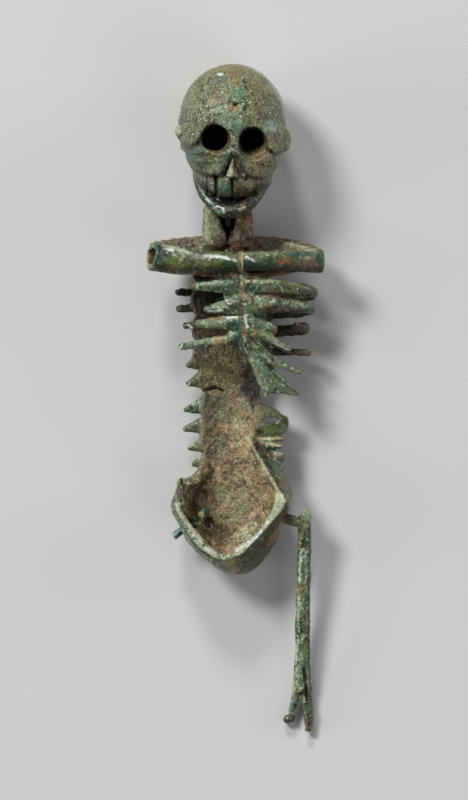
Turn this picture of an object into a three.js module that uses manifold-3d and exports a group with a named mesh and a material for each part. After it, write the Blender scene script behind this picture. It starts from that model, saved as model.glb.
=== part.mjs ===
// A small cast bronze skeleton, broken and corroded, lying on its back.
// Millimetres. +Z is up, +Y runs from the foot end to the crown, +X is the viewer's right.
// The origin is under the middle of the figure, on the surface that it lies on.
import * as THREE from 'three';
import * as BufferGeometryUtils from 'three/addons/utils/BufferGeometryUtils.js';
import Module from 'manifold-3d';

const wasm = await Module();
wasm.setup();

// The gap that a piece keeps to its neighbour.
const FIT = 0.3;

// Skull: heights are measured from the origin, depths from the floor.
const CRANIUM = { x: -0.05, y: 27.7, z: 5.66, halfWidth: 5.34, halfHeight: 5.8, halfDepth: 5.78 };
const CRANIUM_LOWER_SQUARENESS = 3.2;
const HELMET_EDGE = { y: 25.25, z: 3.4, rise: 0.12 };
const FACE = { x: 0.08, y: 25.1, z: 6.6, halfWidth: 4.86, halfHeight: 3.4, halfDepth: 4.5 };
const FACE_SQUARENESS = 2.5;
const FACE_LIFT = 1.4;
const UPPER_JAW = { x: 0.05, y: 22.6, z: 6.6, halfWidth: 3.92, halfHeight: 2.72, halfDepth: 4.35 };
const UPPER_JAW_SQUARENESS = 2.3;
const SOCKET = { depth: 6, openAbove: 2, endShare: 0.86 };
const SOCKETS = [
  { x: -1.78, y: 25.98, radius: 1.4, stretch: 1.0, turn: 0 },
  { x: 1.98, y: 25.74, radius: 1.3, stretch: 1.08, turn: -0.6 },
];
const EARS = [
  { x: -4.95, y: 26.75, z: 6.4, radius: 1.35 },
  { x: 5.0, y: 25.95, z: 6.0, radius: 1.3 },
];
const EAR = { halfWidth: 0.86, halfDepth: 1.6 };
const NOSE = { x: 0, topY: 24.75, baseY: 22.0, halfWidth: 1.25, z: 10.85, sunk: 0.15 };
const NOSE_WEDGE = { widthShare: 0.8, halfDepth: 1.05, sunk: 0.3 };
const NOSE_BORDERS = [{ side: -1, drop: 0.95 }, { side: 1, drop: 0.85 }];
const NOSE_BORDER = { topHalf: 0.26, footHalf: 0.3, topHalfDepth: 0.42, footHalfDepth: 0.5, spread: 0.25 };
const TOOTH_GROOVES = { places: [-3.2, -2.5, -1.65, 0.02, 1.35, 2.35, 3.1], topY: 22.1, bottomY: 20.3 };
const TOOTH_GROOVE = { halfWidth: 0.16, depth: 0.3, lean: 0.06 };
const JAW = { x: -0.12, halfWidth: 3.8, chinY: 18.68, hingeY: 23.2, chinZ: 9.7, hingeZ: 5.6, skew: 0.12 };
const JAW_BAND = { hingeHalfHeight: 0.36, chinHalfHeight: 0.7, hingeHalfDepth: 0.6, chinHalfDepth: 0.8 };
// The back of the mouth, which closes the gap between the teeth and the chin.
const PALATE = { left: -1.45, right: 1.8, bottomY: 19.4, topY: 22.5, backZ: 6.5, frontZ: 8.6 };
// The tang under the skull narrows towards its tip.
const TANG = {
  x: -0.5, halfWidth: 0.7, tipHalfWidth: 0.2, topY: 23.0, bottomY: 17.2, z: 5.2, halfDepth: 0.6,
};

// Neck: two prongs that widen downwards, so that the channel between them closes to a V.
const NECK = { topY: 19.4, bottomY: 14.5, z: 4.6, halfDepth: 1.5 };
const NECK_PRONGS = [
  { topX: -2.5, footX: -1.4, topHalf: 0.55, footHalf: 1.62 },
  { topX: 1.2, footX: 0.6, topHalf: 0.79, footHalf: 1.39 },
];
const NECK_BACK = { x: -0.4, halfWidth: 2.4, z: 3.2, halfDepth: 0.75, topY: 18.9 };

// Shoulder bar: its ends, the place of its middle, and its half heights there.
const BAR = { leftX: -8.2, rightX: 8.95, endY: 14.3, midY: 13.75, endZ: 6.7, midZ: 7.1 };
const BAR_HALF_HEIGHTS = [1.5, 1.45, 1.05, 0.98, 1.05, 1.22];
const BAR_HALF_DEPTH = 0.95;
const ARM_HOLE = { radius: 0.8, depth: 2.6 };
const CLAVICLE_GROOVE = { x: 0.75, halfWidth: 0.2, depth: 0.35 };
const SHOULDER = {
  x: 0.3, halfWidth: 8.25, topY: 16.35, bottomY: 12.6, backZ: 1.2, frontZ: 6.5, rimFrontZ: 5.0,
};
// How far the shoulder's rim falls at the front and at its ends, and how its ends draw in.
const SHOULDER_FALL = { front: 0.35, rightEnd: 1.1, leftEnd: 0.5, foot: 0.6, back: 2.6, face: 0.7 };

// Back shell: a shallow trough, wider at the chest than at the loins.
const SHELL = {
  topY: 13.4, bottomY: -8.0, centreX: -0.2, floor: 1.25, lowFloor: 1.05, depth: 1.5, backRise: 1.9,
};
const CHEST_HALF_WIDTH = 3.95;
const LOIN_HALF_WIDTH = 3.0;
const WAIST = { startY: 6, endY: 0 };

// Breastbone and front ribs.
const STERNUM = { x: 0.9, topY: 13.0, bottomY: 4.6, z: 6.4, halfWidth: 0.75, halfDepth: 0.55 };
const FRONT_Z = 6.85;
const CAGE_SIDE_Z = 4.2;
const CAGE_BACK_Z = 1.4;

// Left front ribs: where each leaves the breastbone and where it ends, with its half height there.
const LEFT_LEAVES = [
  { y: 11.3, half: 0.88, endX: -4.3, endY: 11.25, endZ: 6.0, tip: 0.36 },
  { y: 9.4, half: 1.1, endX: -3.0, endY: 8.9, endZ: 6.3, tip: 0.2 },
  { y: 7.5, half: 0.78, endX: -3.85, endY: 7.6, endZ: 5.2, tip: 0.42 },
  { y: 6.35, half: 0.62, endX: -5.45, endY: 5.2, endZ: 3.9, tip: 0.34 },
];
// Right front ribs that run round the side and back to the shell, with their half heights.
const RIGHT_HOOPS = [
  { y: 11.35, reach: 8.1, sideY: 10.6, backY: 9.9, halves: [0.78, 0.7, 0.48, 0.42] },
  { y: 9.5, reach: 7.8, sideY: 9.0, backY: 8.3, halves: [1.05, 0.78, 0.42, 0.44] },
];
// Right front ribs that are broken off at the front.
const RIGHT_SPIKES = [
  { y: 7.9, middleX: 2.6, middleY: 7.4, endX: 4.4, endY: 6.8, endZ: 6.2, half: 0.8, tip: 0.5 },
  { y: 7.2, middleX: 3.2, middleY: 6.1, endX: 5.9, endY: 4.8, endZ: 5.9, half: 0.66, tip: 0.4 },
  { y: 6.4, middleX: 3.4, middleY: 4.15, endX: 7.0, endY: 2.5, endZ: 5.2, half: 0.85, tip: 0.2 },
];
// Right back ribs that stand free behind the broken ones.
const RIGHT_BACKS = [
  { y: 6.85, reach: 7.15, endX: 5.9, endY: 7.35, endZ: 4.4, half: 0.68 },
  { y: 4.7, reach: 7.2, endX: 7.5, endY: 4.55, endZ: 4.3, half: 0.42 },
];
const FRONT_WEB = { left: -1.3, right: 3.3, top: 12.6, bottom: 5.6, back: 6.0, front: 6.6 };
const BREAST_LEAF = { backZ: 6.25, thickness: 0.8, fall: 0.2, bendX: 2 };

// Left stubs of the back ribs: height of the tip, reach, droop from root to tip, half height.
const LEFT_STUBS = [
  { y: 10.7, reach: 5.9, droop: 0.0, half: 0.5, tip: 0.42 },
  { y: 9.05, reach: 5.7, droop: 0.1, half: 0.47, tip: 0.4 },
  { y: 7.3, reach: 5.05, droop: 0.1, half: 0.42, tip: 0.38 },
  { y: 3.2, reach: 4.7, droop: 0.6, half: 1.05, tip: 0.25 },
  { y: 1.4, reach: 4.75, droop: 0.6, half: 1.05, tip: 0.25 },
  { y: -1.15, reach: 5.0, droop: 0.55, half: 1.1, tip: 0.22 },
  { y: -3.1, reach: 5.1, droop: 0.55, half: 1.05, tip: 0.22 },
  { y: -5.0, reach: 4.6, droop: 0.45, half: 0.95, tip: 0.2 },
  { y: -6.6, reach: 4.2, droop: 0.45, half: 0.85, tip: 0.2 },
];
const STUB_ROOT_INSET = 0.6;

// Right side of the loins: one closed rib loop and four worn rib ends.
const LOIN_LOOP = { rootX: 2.2, reach: 5.6, topY: -0.4, bottomY: -3.75, z: 2.3, thickness: 1.0 };
const LOIN_LOOP_HOLE = { x: 3.65, y: -2.12, halfWidth: 0.85, halfHeight: 0.33 };
const LOIN_ENDS = [
  { rootX: 2.2, y: -4.0, endX: 5.1, endY: -3.95, half: 0.22 },
  { rootX: 2.2, y: -4.2, endX: 5.05, endY: -4.7, half: 0.25 },
  { rootX: 3.4, y: -5.2, endX: 5.2, endY: -5.85, half: 0.55 },
  { rootX: 3.8, y: -6.6, endX: 5.15, endY: -6.8, half: 0.48 },
];

// Pelvis bowl: stations round the rim, with the rim's height, how far the wall bellies out
// and how thick it is. The first and last stand where the bowl opens into the back.
const BOWL_RIM = [
  { x: -3.0, y: -6.9, z: 2.9, belly: 0.0, wall: 0.8 },
  { x: -3.9, y: -7.75, z: 3.6, belly: 0.0, wall: 0.8 },
  { x: -5.05, y: -8.4, z: 4.5, belly: 0.1, wall: 0.8 },
  { x: -5.85, y: -10.8, z: 6.0, belly: 0.1, wall: 0.85 },
  { x: -4.95, y: -12.7, z: 6.6, belly: 0.2, wall: 0.86 },
  { x: -3.75, y: -14.6, z: 6.8, belly: 0.3, wall: 1.15 },
  { x: -2.5, y: -15.55, z: 6.85, belly: 0.4, wall: 0.95 },
  { x: -1.0, y: -16.0, z: 6.9, belly: 1.1, wall: 0.68 },
  { x: 0.7, y: -15.5, z: 7.0, belly: 2.1, wall: 0.55 },
  { x: 2.3, y: -14.0, z: 7.0, belly: 1.95, wall: 0.5 },
  { x: 3.6, y: -12.6, z: 7.0, belly: 1.2, wall: 0.72 },
  { x: 5.25, y: -10.25, z: 7.0, belly: 0.3, wall: 1.3 },
  { x: 4.1, y: -8.4, z: 6.0, belly: 1.2, wall: 0.4 },
  { x: 2.9, y: -6.4, z: 4.9, belly: 1.2, wall: 0.4 },
  { x: 1.9, y: -4.7, z: 3.4, belly: 0.9, wall: 0.4 },
];
const BOWL = { floor: 1.3, bellyZ: 3.6, footScale: 0.62, centreX: -0.2, centreY: -11.0 };
const BOWL_MOUTH_SHIFT = 4;
// A worn curl of metal on the right outside of the bowl.
const WALL_CURL = {
  places: [[4.9, -8.7], [5.6, -8.95], [5.66, -9.7], [5.25, -10.6]], z: 4.3, halfWidth: 0.28, halfDepth: 0.75,
};
// The room inside the bowl is cut straight down to the rim, over this share of the cutter's height.
const BOWL_COLLAR = { rise: 2.5, share: 0.25 };

// Hip wire: from inside the bowl out through the wall, towards the lower left.
const WIRE = { innerX: -2.9, innerY: -11.5, outerX: -5.95, outerY: -13.8, z: 3.4, radius: 0.4 };

// Thigh: a worn rod that lies down from the hip to the floor, forked at the knee.
const LEG_MIDDLE = [[7.2, -11.7], [7.17, -13.5], [7.1, -17], [7, -21], [6.97, -25], [6.85, -29.5]];
const LEG_HALF_WIDTHS = [0.64, 0.67, 0.68, 0.7, 0.76, 0.74, 0.84, 0.98];
const LEG_HALF_DEPTH = 0.62;
const HIP_KNOB = { x: 7.22, y: -11.74, z: 4.2, halfWidth: 0.64, halfHeight: 0.82, halfDepth: 0.64 };
const LEG_HIP_Z = 4.2;
const LEG_KNEE_Z = 1.1;
const TENON = { innerX: 4.5, innerY: -11.8, outerX: 6.9, outerY: -12.35, z: 4.1, radius: 0.55 };
// The two prongs of the fork: the places of their middle lines from the shaft down, and their half widths.
const FORK = [
  { places: [[6.4, -28.6], [6.2, -30.05], [5.96, -31.3], [5.55, -32.2]], halves: [0.5, 0.54, 0.33, 0.3] },
  { places: [[7.3, -28.6], [7.35, -30.05], [7.46, -31.3], [7.6, -33.3]], halves: [0.5, 0.57, 0.54, 0.42] },
];
const FORK_TIP_Z = 0.55;
const FORK_KNOB = { x: 5.5, y: -32.1, z: 0.6, halfWidth: 0.5, halfHeight: 0.62, halfDepth: 0.6 };
const FORK_EYE = { x: 5.45, y: -32.05, radius: 0.24 };

const vec = (x, y, z) => new THREE.Vector3(x, y, z);
const flat = (x, y) => new THREE.Vector2(x, y);
const mix = THREE.MathUtils.lerp;
const UP = vec(0, 0, 1);
// Ribs that turn round the side keep their broad face square to the long axis.
const ACROSS_RIB = vec(0, 1, 0);

// Turns a closed geometry into a solid that can be joined and cut.
function solid(geometry) {
  const bare = geometry.clone();
  bare.deleteAttribute('normal');
  bare.deleteAttribute('uv');
  const merged = BufferGeometryUtils.mergeVertices(bare, 1e-5);
  const mesh = new wasm.Mesh({
    numProp: 3,
    vertProperties: new Float32Array(merged.attributes.position.array),
    triVerts: new Uint32Array(merged.index.array),
  });
  return new wasm.Manifold(mesh);
}

const join = (...solids) => solids.reduce((whole, next) => whole.add(next));

// Moves every vertex of a geometry by a function of its old place.
function reshape(geometry, place) {
  const position = geometry.attributes.position;
  const point = new THREE.Vector3();
  for (let i = 0; i < position.count; i += 1) {
    point.fromBufferAttribute(position, i);
    const moved = place(point);
    position.setXYZ(i, moved.x, moved.y, moved.z);
  }
  return geometry;
}

// An egg: a ball with its own half sizes, squarer where the power is above two.
function egg({ x, y, z, halfWidth, halfHeight, halfDepth }, segments, power = () => 2) {
  const ball = new THREE.SphereGeometry(1, segments, Math.round(segments * 0.64));
  return solid(reshape(ball, (p) => {
    const n = power(p);
    const length = (Math.abs(p.x) ** n + Math.abs(p.y) ** n + Math.abs(p.z) ** n) ** (1 / n);
    p.divideScalar(length);
    return vec(x + halfWidth * p.x, y + halfHeight * p.y, z + halfDepth * p.z);
  }));
}

// A rod of changing oval section along a smooth path.
// across is the half size in the floor's plane and tall the half size towards the viewer.
function rod(points, across, tall, { sides = 8, steps = 7, reference = UP } = {}) {
  const path = new THREE.CatmullRomCurve3(points);
  const tube = new THREE.CylinderGeometry(1, 1, 1, sides, steps);
  return solid(reshape(tube, (p) => {
    const t = THREE.MathUtils.clamp(0.5 - p.y, 0, 1);
    const tangent = path.getTangentAt(t);
    const side = reference.clone().cross(tangent).normalize();
    const front = tangent.clone().cross(side);
    const middle = path.getPointAt(t);
    return middle.addScaledVector(side, p.x * across(t)).addScaledVector(front, p.z * tall(t));
  }));
}

// Half sizes that run evenly from one value to another, times drawn at both ends.
function taper(start, end, drawn = 0.5) {
  return (t) => mix(start, end, t) * (Math.min(t, 1 - t) < 1e-6 ? drawn : 1);
}

// Half sizes through evenly spaced values.
function profile(values) {
  const curve = new THREE.SplineCurve(values.map((value, i) => new THREE.Vector2(i, value)));
  return (t) => curve.getPoint(t).y;
}

function slab(minX, maxX, minY, maxY, minZ, maxZ) {
  const box = new THREE.BoxGeometry(maxX - minX, maxY - minY, maxZ - minZ);
  return solid(box.translate((minX + maxX) / 2, (minY + maxY) / 2, (minZ + maxZ) / 2));
}

// Everything above the surface that the figure lies on.
const ABOVE_FLOOR = slab(-20, 20, -50, 50, 0, 30);

// The dome of the head, cut off below along the helmet edge as far back as the ears.
function cranium() {
  const lower = (p) => {
    const forward = THREE.MathUtils.smoothstep(p.z, -0.5, 0.1);
    return mix(2, CRANIUM_LOWER_SQUARENESS, THREE.MathUtils.clamp(-p.y * 2, 0, 1) * forward);
  };
  const below = new THREE.BoxGeometry(16, 10, 16);
  below.translate(0, -5, 8);
  below.rotateX(HELMET_EDGE.rise);
  below.translate(0, HELMET_EDGE.y, HELMET_EDGE.z);
  return egg(CRANIUM, 22, lower).subtract(solid(below));
}

// The face below the brow, drawn out upwards so that it runs into the dome.
function face() {
  const square = () => FACE_SQUARENESS;
  return egg(FACE, 20, square).add(egg({ ...FACE, y: FACE.y + FACE_LIFT }, 12, square));
}

// The height of an egg's front surface over a place in its outline.
function frontOf({ x, y, z, halfWidth, halfHeight, halfDepth }, power, atX, atY) {
  const acrossShare = (Math.abs(atX - x) / halfWidth) ** power;
  const upShare = (Math.abs(atY - y) / halfHeight) ** power;
  return z + halfDepth * Math.max(0, 1 - acrossShare - upShare) ** (1 / power);
}

// A round, deep socket that narrows a little towards its end.
function socket({ x, y, radius, stretch, turn }) {
  const length = SOCKET.depth + SOCKET.openAbove;
  const hole = new THREE.CylinderGeometry(radius, radius * SOCKET.endShare, length, 16, 1);
  hole.rotateX(Math.PI / 2);
  hole.scale(stretch, 1, 1);
  hole.rotateZ(turn);
  hole.translate(x, y, FACE.z + FACE.halfDepth - SOCKET.depth + length / 2);
  return solid(hole);
}

// The nose: a sunk triangle with raised borders and a ridged wedge inside it.
function nose(face) {
  const height = NOSE.topY - NOSE.baseY;
  const outline = new THREE.Shape();
  outline.moveTo(0, 0);
  outline.lineTo(-NOSE.halfWidth, -height);
  outline.lineTo(NOSE.halfWidth, -height);
  const recess = new THREE.ExtrudeGeometry(outline, { depth: 3, bevelEnabled: false });
  recess.translate(NOSE.x, NOSE.topY, NOSE.z - NOSE.sunk);
  const wedge = new THREE.ConeGeometry(1, height, 4, 1);
  wedge.scale(NOSE.halfWidth * NOSE_WEDGE.widthShare, 1, NOSE_WEDGE.halfDepth);
  wedge.translate(NOSE.x, (NOSE.topY + NOSE.baseY) / 2, NOSE.z - NOSE_WEDGE.sunk);
  const { topHalf, footHalf, topHalfDepth, footHalfDepth, spread } = NOSE_BORDER;
  const border = ({ side, drop }) => rod([
    vec(NOSE.x, NOSE.topY + 0.15, NOSE.z + 0.18),
    vec(NOSE.x + side * NOSE.halfWidth * 0.62, mix(NOSE.topY, NOSE.baseY, drop * 0.5), NOSE.z + 0.02),
    vec(NOSE.x + side * (NOSE.halfWidth + spread), mix(NOSE.topY, NOSE.baseY, drop), NOSE.z - 0.4),
  ], taper(topHalf, footHalf), taper(topHalfDepth, footHalfDepth), { sides: 6, steps: 4 });
  return join(face.subtract(solid(recess)), solid(wedge), ...NOSE_BORDERS.map(border));
}

// Upright grooves that part the upper teeth and follow the bulge of the jaw.
function teethGrooves() {
  return join(...TOOTH_GROOVES.places.map((x) => {
    const at = (y) => {
      const towards = mix(x, UPPER_JAW.x, TOOTH_GROOVE.lean * (TOOTH_GROOVES.topY - y));
      return vec(towards, y, frontOf(UPPER_JAW, UPPER_JAW_SQUARENESS, towards, y) + 0.05);
    };
    const middleY = (TOOTH_GROOVES.topY + TOOTH_GROOVES.bottomY) / 2;
    return rod(
      [at(TOOTH_GROOVES.topY), at(middleY), at(TOOTH_GROOVES.bottomY)],
      () => TOOTH_GROOVE.halfWidth, () => TOOTH_GROOVE.depth, { sides: 4, steps: 3 },
    );
  }));
}

// The lower jaw: a band that hangs from both sides of the face and bends round the chin.
function lowerJaw() {
  const points = [];
  const stations = 10;
  for (let i = 0; i <= stations; i += 1) {
    const angle = mix(-Math.PI / 2, Math.PI / 2, i / stations);
    const climb = (1 - Math.cos(angle)) ** 0.9;
    points.push(vec(
      JAW.x + JAW.halfWidth * Math.sin(angle),
      mix(JAW.chinY, JAW.hingeY, climb) + JAW.skew * Math.sin(angle),
      mix(JAW.chinZ, JAW.hingeZ, climb),
    ));
  }
  const fuller = (hinge, chin) => (t) => mix(hinge, chin, Math.sin(Math.PI * t));
  const { hingeHalfHeight, chinHalfHeight, hingeHalfDepth, chinHalfDepth } = JAW_BAND;
  const tall = fuller(hingeHalfDepth, chinHalfDepth);
  return rod(points, fuller(hingeHalfHeight, chinHalfHeight), tall, { sides: 8, steps: 12 });
}

// The tang, or with a gap the room that the neck keeps for it, open to the front.
function tang(gap = 0) {
  const { x, halfWidth, tipHalfWidth, topY, bottomY, z, halfDepth } = TANG;
  return solid(reshape(new THREE.BoxGeometry(1, 1, 1), (p) => {
    const wide = mix(tipHalfWidth, halfWidth, p.y + 0.5) + gap;
    const front = gap > 0 ? 12 : z + halfDepth;
    const depth = p.z < 0 ? z - halfDepth - gap : front;
    return vec(x + 2 * wide * p.x, mix(bottomY - gap, topY, p.y + 0.5), depth);
  }));
}

function buildSkull() {
  let skull = join(cranium(), face(), egg(UPPER_JAW, 16, () => UPPER_JAW_SQUARENESS));
  EARS.forEach(({ x, y, z, radius }) => {
    skull = skull.add(egg({ x, y, z, halfHeight: radius, ...EAR }, 11));
  });
  skull = nose(skull);
  SOCKETS.forEach((eye) => {
    skull = skull.subtract(socket(eye));
  });
  skull = skull.subtract(teethGrooves());
  const { left, right, bottomY, topY, backZ, frontZ } = PALATE;
  const palate = slab(left, right, bottomY, topY, backZ, frontZ);
  return join(skull, lowerJaw(), palate, tang()).intersect(ABOVE_FLOOR);
}

function neckProng({ topX, footX, topHalf, footHalf }) {
  return rod([
    vec(topX, NECK.topY, NECK.z),
    vec((topX + footX) / 2, (NECK.topY + NECK.bottomY) / 2, NECK.z),
    vec(footX, NECK.bottomY, NECK.z),
  ], taper(topHalf, footHalf, 0.9), taper(NECK.halfDepth, NECK.halfDepth, 0.85), { sides: 10, steps: 4 });
}

function neck() {
  const { x, z, halfWidth, halfDepth, topY } = NECK_BACK;
  const path = [vec(x, topY, z), vec(x, NECK.bottomY, z)];
  const back = rod(path, taper(halfWidth * 0.9, halfWidth, 0.9), () => halfDepth, { sides: 8, steps: 3 });
  return join(...NECK_PRONGS.map(neckProng), back);
}

// The shoulder: a block behind the bar whose rough front leans back towards its upper rim.
function shoulder() {
  const block = new THREE.BoxGeometry(1, 1, 1, 9, 2, 2);
  return solid(reshape(block, (p) => {
    const x = 2 * SHOULDER.halfWidth * p.x;
    const outward = Math.abs(2 * p.x);
    const forward = p.z + 0.5;
    const up = p.y + 0.5;
    const endFall = x > 0 ? SHOULDER_FALL.rightEnd : SHOULDER_FALL.leftEnd;
    const top = SHOULDER.topY - SHOULDER_FALL.front * forward - endFall * outward ** 3;
    const bottom = SHOULDER.bottomY + SHOULDER_FALL.foot * outward ** 2 + 0.5 * (1 - forward);
    const back = SHOULDER.backZ + SHOULDER_FALL.back * outward ** 2;
    const front = mix(SHOULDER.frontZ, SHOULDER.rimFrontZ, up) - SHOULDER_FALL.face * outward ** 2;
    return vec(x + SHOULDER.x, mix(bottom, top, up), mix(back, front, forward));
  }));
}

// The path of the shoulder bar; its left end turns towards the viewer.
function barPath() {
  return [
    vec(BAR.leftX, BAR.endY, BAR.endZ),
    vec(-6.6, BAR.endY - 0.25, BAR.endZ - 0.75),
    vec(-3.8, BAR.midY, BAR.midZ - 0.7),
    vec(0.6, BAR.midY, BAR.midZ),
    vec(5.0, BAR.midY + 0.05, BAR.midZ - 0.4),
    vec(BAR.rightX, BAR.midY, BAR.endZ - 1.0),
  ];
}

function shoulderBar() {
  const path = barPath();
  const depth = (t) => BAR_HALF_DEPTH + 0.3 * (1 - t) ** 2 + 0.2 * t ** 4;
  const bar = rod(path, profile(BAR_HALF_HEIGHTS), depth, { sides: 10, steps: 12 });
  const outward = path[0].clone().sub(path[1]).normalize();
  const hole = new THREE.CylinderGeometry(ARM_HOLE.radius, ARM_HOLE.radius, 2 * ARM_HOLE.depth, 14, 1);
  hole.applyQuaternion(new THREE.Quaternion().setFromUnitVectors(vec(0, 1, 0), outward));
  hole.translate(path[0].x, path[0].y, path[0].z);
  const groove = new THREE.CylinderGeometry(1, 1, 4, 4, 1);
  groove.scale(CLAVICLE_GROOVE.halfWidth, 1, CLAVICLE_GROOVE.depth);
  groove.translate(CLAVICLE_GROOVE.x, BAR.midY, BAR.midZ + BAR_HALF_DEPTH);
  return bar.subtract(solid(hole)).subtract(solid(groove));
}

// The half width of the back at a height, from the chest down to the loins.
function shellHalfWidth(y) {
  const down = THREE.MathUtils.smoothstep(WAIST.startY - y, 0, WAIST.startY - WAIST.endY);
  return mix(CHEST_HALF_WIDTH, LOIN_HALF_WIDTH, down);
}

// The trough of the back: a wall whose outside is rounder than its inside.
// It flattens out where it runs into the floor of the bowl.
function backShell() {
  const wall = new THREE.BoxGeometry(1, 1, 1, 8, 7, 1);
  return solid(reshape(wall, (p) => {
    const y = mix(SHELL.bottomY, SHELL.topY, p.y + 0.5);
    const across = 2 * p.x;
    const inside = p.z + 0.5;
    const curl = THREE.MathUtils.smoothstep(y, SHELL.bottomY, SHELL.bottomY + 4);
    const outerZ = -0.1 + SHELL.backRise * curl * Math.abs(across) ** 2.2;
    const innerZ = mix(SHELL.lowFloor, SHELL.floor, curl) + SHELL.depth * curl * across ** 2;
    const halfWidth = shellHalfWidth(y) * (1 - 0.05 * inside);
    return vec(SHELL.centreX + halfWidth * across, y, mix(outerZ, innerZ, inside));
  }));
}

// The rib bands, half sunk into the outside of the back.
function backRidge() {
  return join(...LEFT_STUBS.map(({ y, droop }) => {
    const root = y + droop * 0.8;
    const width = shellHalfWidth(root) + 0.1;
    const bend = (across) => vec(SHELL.centreX + across * width, root, 0.3 + 1.5 * Math.abs(across) ** 2.2);
    return rod([-1, -0.6, 0, 0.6, 1].map(bend), () => 0.36, () => 0.4, { sides: 4, steps: 4 });
  }));
}

function leftStub({ y, reach, droop, half, tip }) {
  const root = y + droop;
  const rootX = SHELL.centreX - shellHalfWidth(root) + STUB_ROOT_INSET;
  return rod([
    vec(rootX, root, 1.55),
    vec(mix(rootX, -reach, 0.5), mix(root, y, 0.5), 1.95),
    vec(-reach, y, 2.2),
  ], taper(half, tip, 0.75), taper(0.5, tip, 0.75), { sides: 6, steps: 2 });
}

// A left front rib: a leaf, broad at the breastbone and narrow at its broken end.
function leftLeaf({ y, half, endX, endY, endZ, tip }) {
  return rod([
    vec(STERNUM.x, y, FRONT_Z),
    vec(mix(STERNUM.x, endX, 0.5), mix(y, endY, 0.6), mix(FRONT_Z, endZ, 0.2)),
    vec(endX, endY, endZ),
  ], (t) => mix(half, tip, t ** 1.3), taper(0.5, 0.4, 0.6), { sides: 6, steps: 4 });
}

function rightHoop({ y, reach, sideY, backY, halves }) {
  return rod([
    vec(STERNUM.x, y, FRONT_Z),
    vec(reach * 0.6, mix(y, sideY, 0.3), FRONT_Z - 0.15),
    vec(reach * 0.92, mix(y, sideY, 0.7), FRONT_Z - 1.3),
    vec(reach, mix(sideY, backY, 0.2), CAGE_SIDE_Z),
    vec(reach * 0.8, mix(sideY, backY, 0.7), CAGE_BACK_Z + 1.1),
    vec(SHELL.centreX + shellHalfWidth(backY) - 0.5, backY, CAGE_BACK_Z + 0.4),
  ], () => 0.42, profile(halves), { sides: 6, steps: 9, reference: ACROSS_RIB });
}

function rightSpike({ y, middleX, middleY, endX, endY, endZ, half, tip }) {
  return rod([
    vec(STERNUM.x, y, FRONT_Z),
    vec(middleX, middleY, FRONT_Z - 0.05),
    vec(endX, endY, endZ),
  ], taper(half, tip, 0.75), taper(0.5, Math.min(tip, 0.4), 0.75), { sides: 6, steps: 4 });
}

function rightBack({ y, reach, endX, endY, endZ, half }) {
  const rootX = SHELL.centreX + shellHalfWidth(y) - 0.4;
  return rod([
    vec(rootX, y, CAGE_BACK_Z),
    vec(reach * 0.8, y, CAGE_BACK_Z + 0.5),
    vec(reach + 0.2, mix(y, endY, 0.4), mix(CAGE_BACK_Z, endZ, 0.6)),
    vec(endX, endY, endZ),
  ], taper(0.42, 0.36, 0.75), taper(half, half * 0.8, 0.75), { sides: 6, steps: 6, reference: ACROSS_RIB });
}

// The breastbone, bowed a little towards the viewer.
function sternum() {
  const { x, topY, bottomY, z, halfWidth, halfDepth } = STERNUM;
  return rod([
    vec(x - 0.2, topY, z),
    vec(x, (topY + bottomY) / 2, z + 0.15),
    vec(x + 0.4, bottomY, z),
  ], taper(halfWidth, halfWidth * 0.9), taper(halfDepth, halfDepth), { steps: 5 });
}

// The thin wall behind the front ribs, close to the breastbone.
function frontWeb() {
  const web = new THREE.BoxGeometry(1, 1, 1, 6, 5, 1);
  return solid(reshape(web, (p) => {
    const across = p.x + 0.5;
    const down = 0.5 - p.y;
    const x = mix(FRONT_WEB.left, FRONT_WEB.right, across) + 0.5 * down;
    const narrow = mix(1, 0.7, down);
    const fall = 0.06 * (x - STERNUM.x) ** 2;
    return vec(
      STERNUM.x + (x - STERNUM.x) * narrow,
      mix(FRONT_WEB.top, FRONT_WEB.bottom, down),
      mix(FRONT_WEB.back, FRONT_WEB.front, p.z + 0.5) - fall,
    );
  }));
}

// The broad leaf at the foot of the breastbone, with a spike at its lower right.
function breastLeaf() {
  const outline = new THREE.Shape();
  outline.moveTo(1.0, 6.0);
  outline.splineThru([flat(1.8, 3.7), flat(2.5, 2.2), flat(3.3, -0.05)]);
  outline.lineTo(3.7, 0.55);
  outline.lineTo(5.4, 0.45);
  outline.lineTo(6.75, 0.1);
  outline.lineTo(6.85, 0.35);
  outline.splineThru([flat(5.5, 1.6), flat(4.0, 3.2), flat(3.2, 4.8)]);
  outline.lineTo(1.8, 6.2);
  const leaf = new THREE.ExtrudeGeometry(outline, {
    depth: BREAST_LEAF.thickness, bevelEnabled: false, curveSegments: 3, steps: 1,
  });
  return solid(reshape(leaf, (p) => {
    const away = Math.max(0, p.x - BREAST_LEAF.bendX);
    const thin = mix(1, 0.5, Math.min(1, away / 5));
    return vec(p.x, p.y, BREAST_LEAF.backZ + p.z * thin - BREAST_LEAF.fall * away ** 1.15);
  }));
}

// A rib of the loins that was bent back on itself, with a slot left between its two limbs.
function loinLoop() {
  const { rootX, reach, topY, bottomY, z, thickness } = LOIN_LOOP;
  const outline = new THREE.Shape();
  outline.moveTo(rootX, bottomY);
  outline.lineTo(reach - 1.5, bottomY);
  outline.bezierCurveTo(reach - 0.4, bottomY, reach, bottomY + 0.6, reach, bottomY + 1.2);
  outline.bezierCurveTo(reach, topY - 1.3, reach - 1.6, topY - 0.25, rootX, topY);
  const slot = new THREE.Path();
  const { x, y, halfWidth, halfHeight } = LOIN_LOOP_HOLE;
  slot.absellipse(x, y, halfWidth, halfHeight, 0, 2 * Math.PI, true);
  outline.holes.push(slot);
  const size = { depth: thickness, bevelEnabled: false, curveSegments: 5 };
  return solid(new THREE.ExtrudeGeometry(outline, size).translate(0, 0, z));
}

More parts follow.
